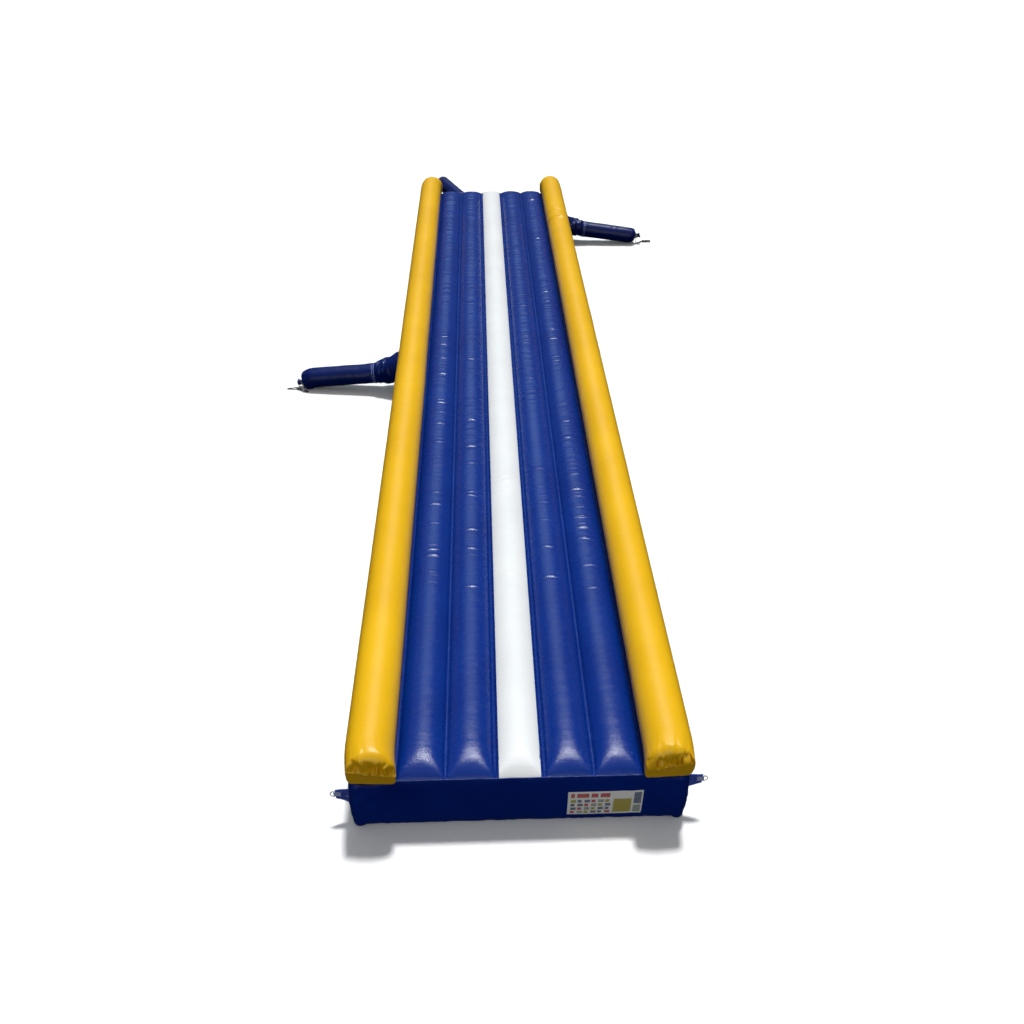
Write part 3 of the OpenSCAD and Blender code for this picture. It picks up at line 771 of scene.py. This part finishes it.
STRAP_W, STRAP_T = 0.030, 0.003
TAPER = 0.090
SHOULDER = 0.030  # where the closed end starts to round over, before the taper
NECK_R, NECK_L = 0.030, 0.038
TUFT_L = 0.042
BAND_FROM, BAND_L = 0.014, 0.034
HEM_L = 0.022
ROUND = 144
STITCHES, STITCH_HALF = 72, 0.0017
# Collar folds as (height, folds round, turn along, change along, seed step)
COLLAR_FOLDS = ((0.020, 5, 2.0, 1.7, 0), (0.012, 9, -3.0, 4.0, 1), (0.0032, 19, 5.0, 13.0, 2))
SLEEVES = {
    "left": dict(
        yaw=175.8, length=0.850, root_z=0.312, root_r=0.198, drop=0.048, tilt=0.0, turn=-18.0,
        tail=((0.0, 0.0), (-0.07, 0.0), (0.09, 0.009), (-0.06, 0.018), (0.10, 0.012), (0.22, 0.0)),
        shift=(0.010, -0.135), upright=0.0, blunt=9.0, seed=401,
    ),
    "right": dict(
        yaw=-4.8, length=0.815, root_z=0.285, root_r=0.160, drop=-0.010, tilt=28.0,
        turn=8.0, tail=((0.0, 0.0), (0.06, 0.0), (0.26, 0.0), (0.11, 0.004), (0.25, 0.006)),
        shift=(0.0, -0.020), upright=1.0, blunt=4.0, seed=457,
    ),
}


def ring_noise(angle, x, turns, seed):
    """Crumpled fabric round a sleeve: crests that close on themselves."""
    return 1 - 2 * np.abs(around(angle, x, turns, seed))


def sleeve_axes(yaw, pitch):
    """Unit vectors along, aside and up for a sleeve that points down by pitch."""
    a, p = math.radians(yaw), math.radians(pitch)
    along = np.array([math.cos(a) * math.cos(p), math.sin(a) * math.cos(p), -math.sin(p)])
    aside = np.array([-math.sin(a), math.cos(a), 0])
    return along, aside, np.cross(along, aside)


def ring_frames(centres, first_normal, blend_rows):
    """Along, aside and up at each centre; the first rings lie flat against a wall."""
    along = normed(np.gradient(centres, axis=0))
    turn = fade(np.arange(len(centres)).astype(float), blend_rows)[:, None]
    along = normed(along * (1 - turn) + np.asarray(first_normal) * turn)
    aside = normed(np.cross([0.0, 0.0, 1.0], along))
    return along, aside, np.cross(along, aside)


def ring_points(centres, aside, up, radius, angle):
    """Points on rings; radius holds one row for each centre."""
    c, u = np.cos(angle)[None, :, None], np.sin(angle)[None, :, None]
    return centres[:, None] + radius[..., None] * (c * aside[:, None] + u * up[:, None])


def softened(centres, passes):
    """Rounds the corners of a line of points, leaving its ends alone."""
    for _ in range(passes):
        centres[1:-1] = (centres[:-2] + 2 * centres[1:-1] + centres[2:]) / 4
    return centres


def skin_ripple(angle, x, seed):
    """Soft unevenness and gathers on a sleeve's straight stretch; x runs from the fold."""
    gathers = 0.0035 * ring_noise(angle, x / 0.05, 34, seed + 3)
    near_band = np.maximum(fade(np.abs(x - BAND_FROM - BAND_L / 2) - BAND_L / 2, 0.07), 0)
    swell = 0.0022 * around(angle, x / 0.22, 5, seed + 4)
    folds = 0.0016 * ring_noise(angle + 2.2 * x, x / 0.10, 6, seed + 5)
    return swell + folds * (np.abs(x) > 0) + gathers * near_band


def crumple(angle, x, run, seed):
    """Deep folds in the collar, from the wall (x = -run) to the fold (x = 0)."""
    k = unit(-x / run)
    depth = unit(k / 0.12) * unit((1 - k) / 0.10)
    folds = sum(
        height * ring_noise(angle + turn * k, change * k, count, seed + step)
        for height, count, turn, change, step in COLLAR_FOLDS
    )
    root = 0.0060 * ring_noise(angle, 2 * k, 30, seed + 6) * fade(1 - k, 0.35)
    return (folds - 0.006) * depth + root


def make_side_sleeve(side):
    shape = SLEEVES[side]
    seed, length = shape["seed"], shape["length"]
    fold = np.array(HINGES[side + "_sleeve_swing"])
    sign = math.copysign(1, fold[0])
    pitch = math.degrees(math.asin((fold[2] - SLEEVE_R - 0.001) / length)) - 0.1
    along, aside, up = sleeve_axes(shape["yaw"], pitch)
    run = (fold[0] - sign * HALF_W) / along[0]
    root = fold - along * run
    root[2] = shape["root_z"]
    starts = length - SHOULDER

    k = np.linspace(0, 1, 58)[:-1, None]
    x = np.concatenate([
        np.linspace(0, starts, 96), starts + (TAPER + 0.040) * np.linspace(0, 1, 34)[1:]
    ])[:, None]
    droop = ease((x - starts) / (TAPER + SHOULDER))
    centres = np.concatenate(
        [root + (fold - root) * k, fold + along * x - up * shape["drop"] * droop]
    )
    centres = softened(centres, 40)
    _, ring_aside, ring_up = ring_frames(centres, (sign, 0, 0), 26)

    angle = circle(ROUND)
    place = np.concatenate([-run * (1 - k), x])
    place2, angle2 = table(place[:, 0], angle)
    back = unit(-place2 / run)
    radius = SLEEVE_R + (shape["root_r"] - SLEEVE_R) * back**1.3
    radius = radius + crumple(angle2, place2, run, seed)
    radius = radius + skin_ripple(angle2, place2, seed) * unit(1 - back * 6)
    u2 = unit((place2 - starts) / (TAPER + SHOULDER))
    shoulder = unit(1 - u2 ** shape["blunt"]) ** 0.62
    pleats = 1 - np.abs(around(angle2, u2 * 0.6, 17, seed + 8))
    pleats = pleats**2 * np.sin(math.pi * unit(u2) ** 1.3) ** 0.8
    neck = NECK_R - 0.001
    closed = neck + (radius - neck) * shoulder - 0.012 * pleats * np.clip(shoulder, 0.15, 1)
    radius = np.where(u2 > 0, closed, radius)
    points = ring_points(centres, ring_aside, ring_up, radius, angle)
    points[..., 2] = np.maximum(points[..., 2], 0.0012 + 0.002 * (points[..., 2] < 0.001))
    skin = add_grid(side + "_sleeve_skin", points, SLEEVE_BLUE, close_cols=True, flip=True)
    dress_sleeve(skin, side)

    body = side + "_sleeve_body"
    frames = (fold, along, aside, up)
    make_band(side, body, frames, seed)
    make_neck(side, body, frames, length, shape)
    make_collar_seam(side, root, sign, shape["root_r"], seed)


def on_sleeve(frames, x, radius, angle):
    """Points round a sleeve at distance x from its fold."""
    fold, along, aside, up = frames
    ring = radius[..., None] * (np.cos(angle)[..., None] * aside + np.sin(angle)[..., None] * up)
    return fold + x[..., None] * along + ring


def make_band(side, body, frames, seed):
    """Stitched cuff beside the fold, with two rows of pale stitches."""
    rows = np.array([0, 0.0006, 0.003, 0.009, 0.017, 0.025, 0.031, 0.0334, 0.034]) + BAND_FROM
    lift = np.array([-0.002, 0.0016, 0.0026, 0.0022, 0.0030, 0.0022, 0.0026, 0.0016, -0.002])
    angle = circle(ROUND)
    x2, a2 = table(rows, angle)
    radius = SLEEVE_R + skin_ripple(a2, x2, seed) + lift[:, None]
    band = add_grid(
        side + "_cuff", on_sleeve(frames, x2, radius, a2), SEAM_TAPE_AND_SHEEN, close_cols=True, flip=True
    )
    dress(band, body, "seam_band", side + "_sleeve_band")
    points, faces = [], []
    for row, x in enumerate((BAND_FROM + 0.005, BAND_FROM + 0.029)):
        for n in range(STITCHES):
            half = 0.36 * 2 * math.pi / STITCHES
            t = np.linspace(-half, half, 5)
            bow = np.cos(t / half * math.pi / 2) * 0.0013
            a = 2 * math.pi * n / STITCHES + t
            xs = np.full(5, x)
            r = SLEEVE_R + skin_ripple(a, xs, seed) + 0.0024 + bow
            for dx, dr in ((-STITCH_HALF, 0), (0, 0.0012), (STITCH_HALF, 0), (0, -0.0012)):
                points.append(on_sleeve(frames, xs + dx, r + dr, a))
            start = (row * STITCHES + n) * 20
            for c in range(4):
                for q in range(4):
                    one, two = start + c * 5 + q, start + (c + 1) % 4 * 5 + q
                    faces.append((one, one + 1, two + 1, two))
            faces.append((start, start + 5, start + 10, start + 15))
            faces.append((start + 19, start + 14, start + 9, start + 4))
    stitches = add_mesh(side + "_cuff_stitches", np.concatenate(points), faces, THREAD)
    dress(stitches, body, "seam_band")


def make_collar_seam(side, root, sign, radius, seed):
    """Welded flange where a collar leaves its wall."""
    angle = circle(ROUND)
    wave = 0.002 * np.sin(7 * angle + seed) + 0.0015 * np.sin(19 * angle)
    out = [(-0.004, 0.0008), (0.022, 0.0022), (0.024, 0.0008), (0.024, -0.003), (-0.004, -0.003)]
    rings = []
    for reach, rise in out:
        r = radius + reach + wave
        x = root[0] + sign * (rise + 0.001) + 0 * angle
        rings.append(xyz(x, root[1] + r * np.cos(angle), root[2] + r * np.sin(angle)))
    track_grid(
        side + "_collar_flange", np.stack(rings), SEAM_TAPE_AND_SHEEN, "pvc_blue",
        close_rows=True, close_cols=True, flip=sign < 0,
    )


def flat_strip(name, path, across, width, thickness, material):
    """Flat webbing along a path; across gives the width direction at each point."""
    path, across = np.asarray(path, float), np.asarray(across, float)
    along = normed(np.gradient(path, axis=0))
    across = normed(across - (across * along).sum(axis=1)[:, None] * along)
    normal = np.cross(along, across)
    w, t = width / 2, thickness / 2
    section = [(-w, 0), (-w + t, t), (-w / 3, t * 0.9), (w / 3, t * 0.9), (w - t, t), (w, 0),
               (w - t, -t), (w / 3, -t * 0.9), (-w / 3, -t * 0.9), (-w + t, -t)]
    rings = [path + a * across + b * normal for a, b in section]
    points = np.stack(rings, axis=1)
    faces = grid_faces(len(path), len(section), False, True).tolist()
    last = (len(path) - 1) * len(section)
    faces.append(list(range(len(section))))
    faces.append([last + n for n in reversed(range(len(section)))])
    return add_mesh(name, points.reshape(-1, 3), faces, material)


def strap_ring(name, frames, x, lower, radius, seed):
    """Webbing pulled tight round a neck or a mouth."""
    angle = circle(96)
    fold, along, aside, up = frames
    r = radius + STRAP_T / 2 + 0.0012 * np.sin(9 * angle + seed) * (radius < 0.06)
    path = fold + along * x - up * lower + r[:, None] * (
        np.cos(angle)[:, None] * aside + np.sin(angle)[:, None] * up
    )
    w, t = STRAP_W / 2, STRAP_T / 2
    section = [
        (-w, -t), (-w, t * 0.6), (-w + t, t), (0, t * 1.1), (w - t, t), (w, t * 0.6), (w, -t)
    ]
    out = (path - fold - along * x + up * lower) / r[:, None]
    rings = [path + a * along + b * out for a, b in section]
    return add_grid(name, np.stack(rings, axis=1), WEBBING, True, True)


def make_neck(side, body, frames, length, shape):
    fold, along, _, up = frames
    seed, lower = shape["seed"], shape["drop"]
    neck = length + TAPER
    tie = strap_ring(
        side + "_tie", frames, neck + 0.001 + STRAP_W / 2, lower, NECK_R + 0.0006, seed
    )
    dress(tie, body, "webbing_black", side + "_cinch_strap")

    tilt = math.radians(shape["tilt"])
    lift = along * math.cos(tilt) + up * math.sin(tilt)
    neck_end = fold + along * (neck + NECK_L) - up * lower
    steps = np.concatenate([np.linspace(-NECK_L - 0.004, 0, 9)[:-1], np.linspace(0, TUFT_L, 18)])
    centres = np.array([neck_end + (along if d < 0 else lift) * d for d in steps])
    waist, flare = NECK_R - 0.004, NECK_R + 0.008
    share = unit(steps / TUFT_L)[:, None]
    neck_share = unit(-steps / NECK_L)[:, None]
    angle = circle(120)
    s2, a2 = table(steps, angle)
    flutes = ring_noise(a2 + 6 * s2, s2 / 0.05, 13, seed + 20)
    radius = waist + (flare - waist) * share**1.2 + (NECK_R - waist) * neck_share * 0.8
    radius = radius + flutes * (0.0015 + 0.0075 * share)
    ragged = 0.006 * around(angle, 0 * angle, 9, seed + 21)
    centres = softened(centres, 4)
    _, ring_aside, ring_up = ring_frames(centres, along, 0.5)
    outer = ring_points(centres, ring_aside, ring_up, radius, angle)
    outer[-1] += ragged[:, None] * lift
    inner = []
    for depth, share_r in (
        (0.002, 0.90), (0.010, 0.80), (0.016, 0.62), (0.012, 0.40), (0.020, 0.15)
    ):
        r = radius[-1:] * share_r
        ring = ring_points(
            (centres[-1] - lift * depth)[None], ring_aside[-1:], ring_up[-1:], r, angle
        )
        inner.append(ring + ragged[None, :, None] * lift * (share_r > 0.7))
    points = np.concatenate([outer, *inner])
    points[..., 2] = np.maximum(points[..., 2], 0.0015)
    tuft = add_grid(side + "_tuft", points, SLEEVE_BLUE, close_cols=True, flip=True)
    dress(tuft, body, "pvc_navy", side + "_sleeve_tuft")

    out = neck + STRAP_W / 2
    start = fold + along * out - up * (lower + NECK_R + STRAP_T - 0.001)
    heading = math.radians(shape["yaw"] + shape["turn"])
    ahead = np.array([math.cos(heading), math.sin(heading), 0])
    beside = np.array([-math.sin(heading), math.cos(heading), 0])
    stops = [(0.0, start[2]), (0.004, 0.5 * start[2])] + [(h, 0.003 + z) for h, z in shape["tail"]]
    stops = np.array(stops)
    length_at = np.concatenate([[0], np.cumsum(np.hypot(*np.diff(stops, axis=0).T))])
    run = np.linspace(0, length_at[-1], 110)
    h = np.interp(run, length_at, stops[:, 0])
    height = np.interp(run, length_at, stops[:, 1])
    stood = ease((run - start[2] - 0.05) / 0.05) * shape["upright"]
    curl = 0.008 * np.sin(h * 16)
    landed = unit(1 - height / start[2])[:, None]
    aside_by = (curl + 0.030 * run)[:, None]
    path = start * [1, 1, 0] + landed * [*shape["shift"], 0]
    path = path + ahead * h[:, None] + beside * aside_by
    path[:, 2] = height + 0.5 * STRAP_W * stood + 0.0012 * (1 - np.cos(run / 0.045 * math.pi))
    path = softened(path, 3)
    lean = 0.5 * math.pi * stood
    across = beside * np.cos(lean)[:, None] + np.array([0, 0, 1]) * np.sin(lean)[:, None]
    tail = flat_strip(side + "_tie_tail", path, across, STRAP_W - 0.004, 0.0026, WEBBING)
    dress(tail, body, "webbing_black")
    if side == "left":
        make_pale_loop(body, frames, out, lower)


def make_pale_loop(body, frames, out, lower):
    """Light webbing loop that hangs from the left tie to the floor."""
    fold, along, aside, up = frames
    top = fold + along * (out - 0.004) - up * (lower + 0.012) + aside * (NECK_R + 0.006)
    foot = np.array([top[0] + 0.004, top[1] - 0.105, 0.004])
    far = top + along * -0.062 + np.array([0, -0.012, -0.012])
    t = np.linspace(0, 1, 16)[:, None]
    down = top * (1 - t) + foot * t + np.array([0, 0, 1]) * 0.010 * np.sin(math.pi * t)
    back = foot * (1 - t) + far * t + np.array([0, 0, 1]) * 0.006 * np.sin(math.pi * t)
    path = softened(np.concatenate([down, back[1:]]), 3)
    path[:, 2] = np.maximum(path[:, 2], 0.003)
    across = np.tile(along, (len(path), 1))
    loop = flat_strip("left_tie_loop", path, across, 0.014, 0.0022, PALE_WEBBING)
    dress(loop, body, "buckle_grey")


def make_blower_sleeve():
    """Open filling sleeve behind the rear wall, turned in at its mouth."""
    fold = np.array(HINGES["blower_sleeve_swing"])
    yaw, length, seed = 112.0, 1.010, 507
    along, aside, up = sleeve_axes(yaw, 0)
    root = fold - along * (fold[1] - HALF_L) / along[1]
    run = float(np.linalg.norm(fold - root))
    k = np.linspace(0, 1, 30)[:-1, None]
    x = np.linspace(0, length, 120)[:, None]
    centres = softened(np.concatenate([root + (fold - root) * k, fold + along * x]), 12)
    _, ring_aside, ring_up = ring_frames(centres, (0, 1, 0), 16)
    angle = circle(ROUND)
    place = np.concatenate([-run * (1 - k), x])
    place2, angle2 = table(place[:, 0], angle)
    back = unit(-place2 / run)
    radius = SLEEVE_R + 0.018 * back**1.2 + crumple(angle2, place2, run, seed) * 0.55
    radius = radius + skin_ripple(angle2, place2, seed) * unit(1 - back * 6)
    tied = hump(place2 - length + 2.5 * STRAP_W, STRAP_W)
    radius = radius - tied * (0.001 + 0.0015 * ring_noise(angle2, 0 * angle2, 26, seed + 7))
    radius = radius + 0.0016 * (place2 > length - HEM_L)
    outer = ring_points(centres, ring_aside, ring_up, radius, angle)
    rows = np.arange(len(centres) - 1, len(centres) - 60, -1)
    inner = ring_points(
        centres[rows], ring_aside[rows], ring_up[rows], radius[rows] - 0.0032, angle
    )
    points = np.concatenate([outer, inner])
    skin = add_grid("blower_sleeve_skin", points, SLEEVE_BLUE, close_cols=True, flip=True)
    dress_sleeve(skin, "blower")
    body = "blower_sleeve_body"
    frames = (fold, along, aside, up)
    make_band("blower", body, frames, seed)
    tie = strap_ring("blower_tie", frames, length - 2.5 * STRAP_W, 0, SLEEVE_R + 0.0005, seed)
    dress(tie, body, "webbing_black", "blower_cinch_strap")
    t = np.linspace(0, 1, 40)
    top = fold + along * (length - 2.5 * STRAP_W) - up * (SLEEVE_R + 0.001)
    path = top - up * (0.152 * t)[:, None]
    path = path + aside * (0.006 * np.sin(t * 3.4) * unit((t - 0.36) / 0.2))[:, None]
    tail = flat_strip("blower_tie_tail", path, np.tile(along, (40, 1)), STRAP_W, 0.0028, WEBBING)
    dress(tail, body, "webbing_black")


# ---- Small pieces ----

LABEL_CELLS = (60, 34)


def material_nodes():
    """Gives each CAD node that stays visible its detailed material."""
    finish = {
        "pvc_blue": BLUE, "pvc_navy": NAVY, "pvc_yellow": YELLOW, "pvc_white": WHITE,
        "web_fabric": INNER, "seam_band": SEAM_TAPE_AND_SHEEN, "webbing_black": WEBBING, "buckle_grey": BUCKLE,
        "ring_steel": STEEL, "label_print": LABEL_WHITE, "zip_moulded": ZIP_BLACK,
        "zip_metal": STEEL,
    }
    for part in frame["record"]["subparts"]:
        node = frame["nodes"][part["node"]]
        node.data.materials.clear()
        tab_loop = "anchor_loop" in part["node"]
        node.data.materials.append(BLUE_WEBBING if tab_loop else finish[part["material_slot"]])


def front_wall_y(x, z):
    """The front wall's surface over its flat stretch, at x and height z."""
    s = CORNER_ARC + x + STRAIGHT_W
    v = z / margin_top(x)
    corner = np.minimum(s, 2 * (CORNER_ARC + STRAIGHT_W) - s)
    off = wall_offset(s, v, x, 0 * x - HALF_L, z, END_BULGE, corner, END_FOOT, FRONT_SEED)
    return -(HALF_L + off)


def side_wall_x(y, z, sign):
    """Distance of a side wall's skin from the centre line, at y and height z."""
    s = y + HALF_L - CORNER_R
    corner = np.minimum(s, 2 * STRAIGHT_L - s)
    v = z / DECK_Z
    x = 0 * y + sign * HALF_W
    return HALF_W + wall_offset(s, v, x, y, z, WALL_BULGE, corner, SIDE_FOOT, 31 + sign)


def label_sheet(name, x0, x1, z0, z1, rise, material, cells):
    """Patch on the front wall, following its curve, standing rise above it."""
    x2, z2 = table(np.linspace(x0, x1, cells[0]), np.linspace(z0, z1, cells[1]))
    y = front_wall_y(x2, z2) - rise
    return track_grid(name, xyz(x2, y, z2), material, "label_print")


def print_ink(name, color):
    material, tree, shader = new_material(name, color, 0.45)
    worn = noise_node(tree, 45.0, detail=5.0, roughness=0.7)
    paint(shader, worn, (0.38, tinted(color, 0.8, 0.12)), (0.60, color))
    feed(shader, "Normal", bump_node(tree, weave_height(tree, SCRIM_PITCH), 0.0001))
    return material


def make_label():
    low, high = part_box("label_patch")
    x0, z0 = low.x, low.z
    w, h = high.x - low.x, high.z - low.z
    panel = label_sheet("label_panel", x0, x0 + w, z0, z0 + h, 0.0012, LABEL_WHITE, LABEL_CELLS)
    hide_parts("label_patch")
    red = print_ink("label_ink_red", (0.62, 0.10, 0.12))
    grey = print_ink("label_ink_grey", (0.16, 0.20, 0.30))
    gold = print_ink("label_ink_gold", (0.50, 0.42, 0.06))
    sage = print_ink("label_ink_sage", (0.36, 0.42, 0.36))
    blocks = [
        (0.61, 0.85, 0.08, 0.68, gold), (0.88, 0.98, 0.07, 0.40, sage),
        (0.88, 0.98, 0.46, 0.93, grey),
    ]
    left = 0.04
    for wide in (0.05, 0.16, 0.09, 0.13):
        blocks.append((left, left + wide, 0.76, 0.92, red))
        left += wide + 0.03
    for row in range(4):
        for column in range(6):
            left = 0.04 + column * 0.092
            low_z = 0.06 + row * 0.165
            ink = (red, grey, sage, grey, gold)[(3 * row + 2 * column) % 5]
            blocks.append(
                (left, left + 0.052 + 0.02 * ((row + column) % 2), low_z, low_z + 0.115, ink)
            )
    for number, (a, b, c, d, ink) in enumerate(blocks, start=1):
        label_sheet(
            f"label_block_{number}", x0 + a * w, x0 + b * w, z0 + c * h, z0 + d * h, 0.0020, ink,
            (max(4, int((b - a) * LABEL_CELLS[0])), max(4, int((d - c) * LABEL_CELLS[1]))),
        )


def make_anchor(side, sign):
    """Corner anchor: a patch on the wall and a creased tab of doubled fabric."""
    low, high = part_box(side + "_anchor_patch")
    y2, z2 = table(np.linspace(low.y, high.y, 40), np.linspace(low.z, high.z, 40))
    edge = np.minimum(np.minimum(y2 - low.y, high.y - y2), np.minimum(z2 - low.z, high.z - z2))
    hem = 0.0012 * hump(edge - 0.012, 0.004)
    x2 = sign * (side_wall_x(y2, z2, sign) + 0.0014 + hem)
    node = side + "_anchor_patch"
    track_grid(side + "_anchor_base", xyz(x2, y2, z2), NAVY, "pvc_navy", node, flip=sign < 0)

    low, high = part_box(side + "_anchor_tab")
    hinge = HINGES[side + "_ring_swing"]
    root_x, tip_x = HALF_W + 0.001, abs(hinge.x) - 0.008
    mid_y = hinge.y
    tip_low, tip_high = hinge.z - 0.047, hinge.z + 0.047
    u2, v2 = table(np.linspace(0, 1, 30), np.linspace(0, 1, 34))
    bottom = low.z + (tip_low - low.z) * u2**0.85
    top = high.z + (tip_high - high.z) * u2**1.1
    zz = bottom + (top - bottom) * v2
    xx = sign * (root_x + (tip_x - root_x) * u2)
    fan = (v2 - 0.5) * 5.5
    fold = 0.0065 * creases(fan, u2 * 0.8, 601 + sign) * np.sin(math.pi * unit(u2 + 0.08)) ** 0.6
    bow = 0.010 * np.sin(math.pi * u2) * np.sin(math.pi * v2)
    half = 0.0020 + 0.0022 * (hump(v2 - 0.03, 0.02) + hump(v2 - 0.97, 0.02))
    half = half * unit(np.minimum(v2, 1 - v2) / 0.012 + 0.25)
    loop = unit((u2 - 0.55) / 0.1) * (np.abs(zz - hinge.z) < 0.026)
    fold, bow = fold * (1 - loop), bow * (1 - unit((u2 - 0.5) / 0.2))
    front = xyz(xx, mid_y + fold + bow - half, zz)
    back = xyz(xx, mid_y + fold + bow + half, zz)[:, ::-1]
    points = np.concatenate([front, back], axis=1)
    # The tab's pale blue base colour is painted sheen.
    track_grid(
        side + "_anchor_gusset", points, TAB_BLUE_PAINTED_SHEEN, "pvc_blue", side + "_anchor_tab",
        close_cols=True, flip=sign < 0,
    )


# ---- Camera, light, floor ----


CAMERA_AT = (-0.219, -9.732, 5.697)
CAMERA_YAW, CAMERA_PITCH, CAMERA_ROLL = 0.0399, 0.6596, 0.0079
CAMERA_LENS = 31.58
BACKDROP_R, FLOOR_SPAN, FLOOR_Z = 88.0, 90.0, -0.002


def make_camera():
    yaw, pitch, roll = CAMERA_YAW, CAMERA_PITCH, CAMERA_ROLL
    forward = Vector((
        math.sin(yaw) * math.cos(pitch), math.cos(yaw) * math.cos(pitch), -math.sin(pitch)
    ))
    level = Vector((math.cos(yaw), -math.sin(yaw), 0))
    upright = level.cross(forward)
    right = level * math.cos(roll) + upright * math.sin(roll)
    up = upright * math.cos(roll) - level * math.sin(roll)
    data = bpy.data.cameras.new("camera")
    data.lens, data.sensor_width = CAMERA_LENS, 36
    data.clip_end = 200
    camera = add_object("camera", data)
    turn = Matrix((right, up, -forward)).transposed().to_4x4()
    camera.matrix_world = Matrix.Translation(CAMERA_AT) @ turn
    bpy.context.scene.camera = camera


def add_backdrop():
    """Pale wall far behind everything, seen by the camera only."""
    r2, t2 = table(np.linspace(-0.02, math.pi / 2 - 0.01, 24), circle(64))
    points = xyz(np.cos(t2) * np.cos(r2), np.sin(t2) * np.cos(r2), np.sin(r2)) * BACKDROP_R
    material, _, shader = new_material("backdrop_pale", (0.0, 0.0, 0.0), 1.0)
    shader.inputs["Emission Color"].default_value = (1.0, 1.0, 1.0, 1.0)
    shader.inputs["Emission Strength"].default_value = 1.0
    backdrop = add_grid("studio_backdrop", points, material, close_cols=True)
    for ray in ("visible_diffuse", "visible_glossy", "visible_transmission", "visible_shadow"):
        setattr(backdrop, ray, False)
    return backdrop


def add_sun(name, energy, degrees, direction, tint=(1.0, 1.0, 1.0)):
    data = bpy.data.lights.new(name, "SUN")
    data.energy, data.angle, data.color = energy, math.radians(degrees), tint
    sun = add_object(name, data)
    sun.rotation_euler = Vector(direction).to_track_quat("-Z", "Y").to_euler()


def make_world():
    """Soft sky: brightest overhead, dim near the horizon, dark below it."""
    world = bpy.data.worlds.new("studio_world")
    world.use_nodes = True
    tree = world.node_tree
    coords = add_node(tree, "ShaderNodeTexCoord")
    parts = add_node(tree, "ShaderNodeSeparateXYZ")
    tree.links.new(coords.outputs["Generated"], parts.inputs[0])
    sky = ramp_node(tree, parts.outputs["Z"], [
        (0.0, (0.010, 0.011, 0.012)), (0.02, (0.11, 0.113, 0.117)), (0.60, (0.12, 0.123, 0.128)),
        (0.80, (0.26, 0.265, 0.275)), (1.0, (0.60, 0.61, 0.63)),
    ])
    background = tree.nodes["Background"]
    tree.links.new(sky, background.inputs["Color"])
    background.inputs["Strength"].default_value = 1.0
    bpy.context.scene.world = world


def make_stage():
    material, tree, shader = new_material("floor_pale", (0.97, 0.97, 0.97), 0.9)
    shader.inputs["Specular IOR Level"].default_value = 0.0
    speckle = noise_node(tree, 14.0)
    paint(shader, speckle, (0.3, (0.955, 0.955, 0.955)), (0.7, (0.975, 0.975, 0.975)))
    square = ((-1, -1), (1, -1), (1, 1), (-1, 1))
    corners = [(x * FLOOR_SPAN, y * FLOOR_SPAN, FLOOR_Z) for x, y in square]
    floor = add_mesh("studio_floor", corners, [(0, 1, 2, 3)], material)
    floor.visible_glossy = False
    floor.visible_diffuse = False
    add_backdrop()
    make_world()
    add_sun("sun", 2.95, 6, (-0.082, -0.335, -1.0))
    add_sun("front_fill", 0.58, 40, (0.10, 1.0, -0.32))
    add_sun("rear_glow", 0.32, 30, (0.03, -1.0, -0.84), (0.60, 0.84, 1.0))


make_camera()
make_stage()
make_walls()
make_floor_skin()
make_margins()
make_deck()
make_stripe()
make_seams()
make_tubes()
material_nodes()
for one in SLEEVES:
    make_side_sleeve(one)
make_blower_sleeve()
make_label()
make_anchor("left", -1)
make_anchor("right", 1)

bpy.context.scene.view_settings.view_transform = "Standard"
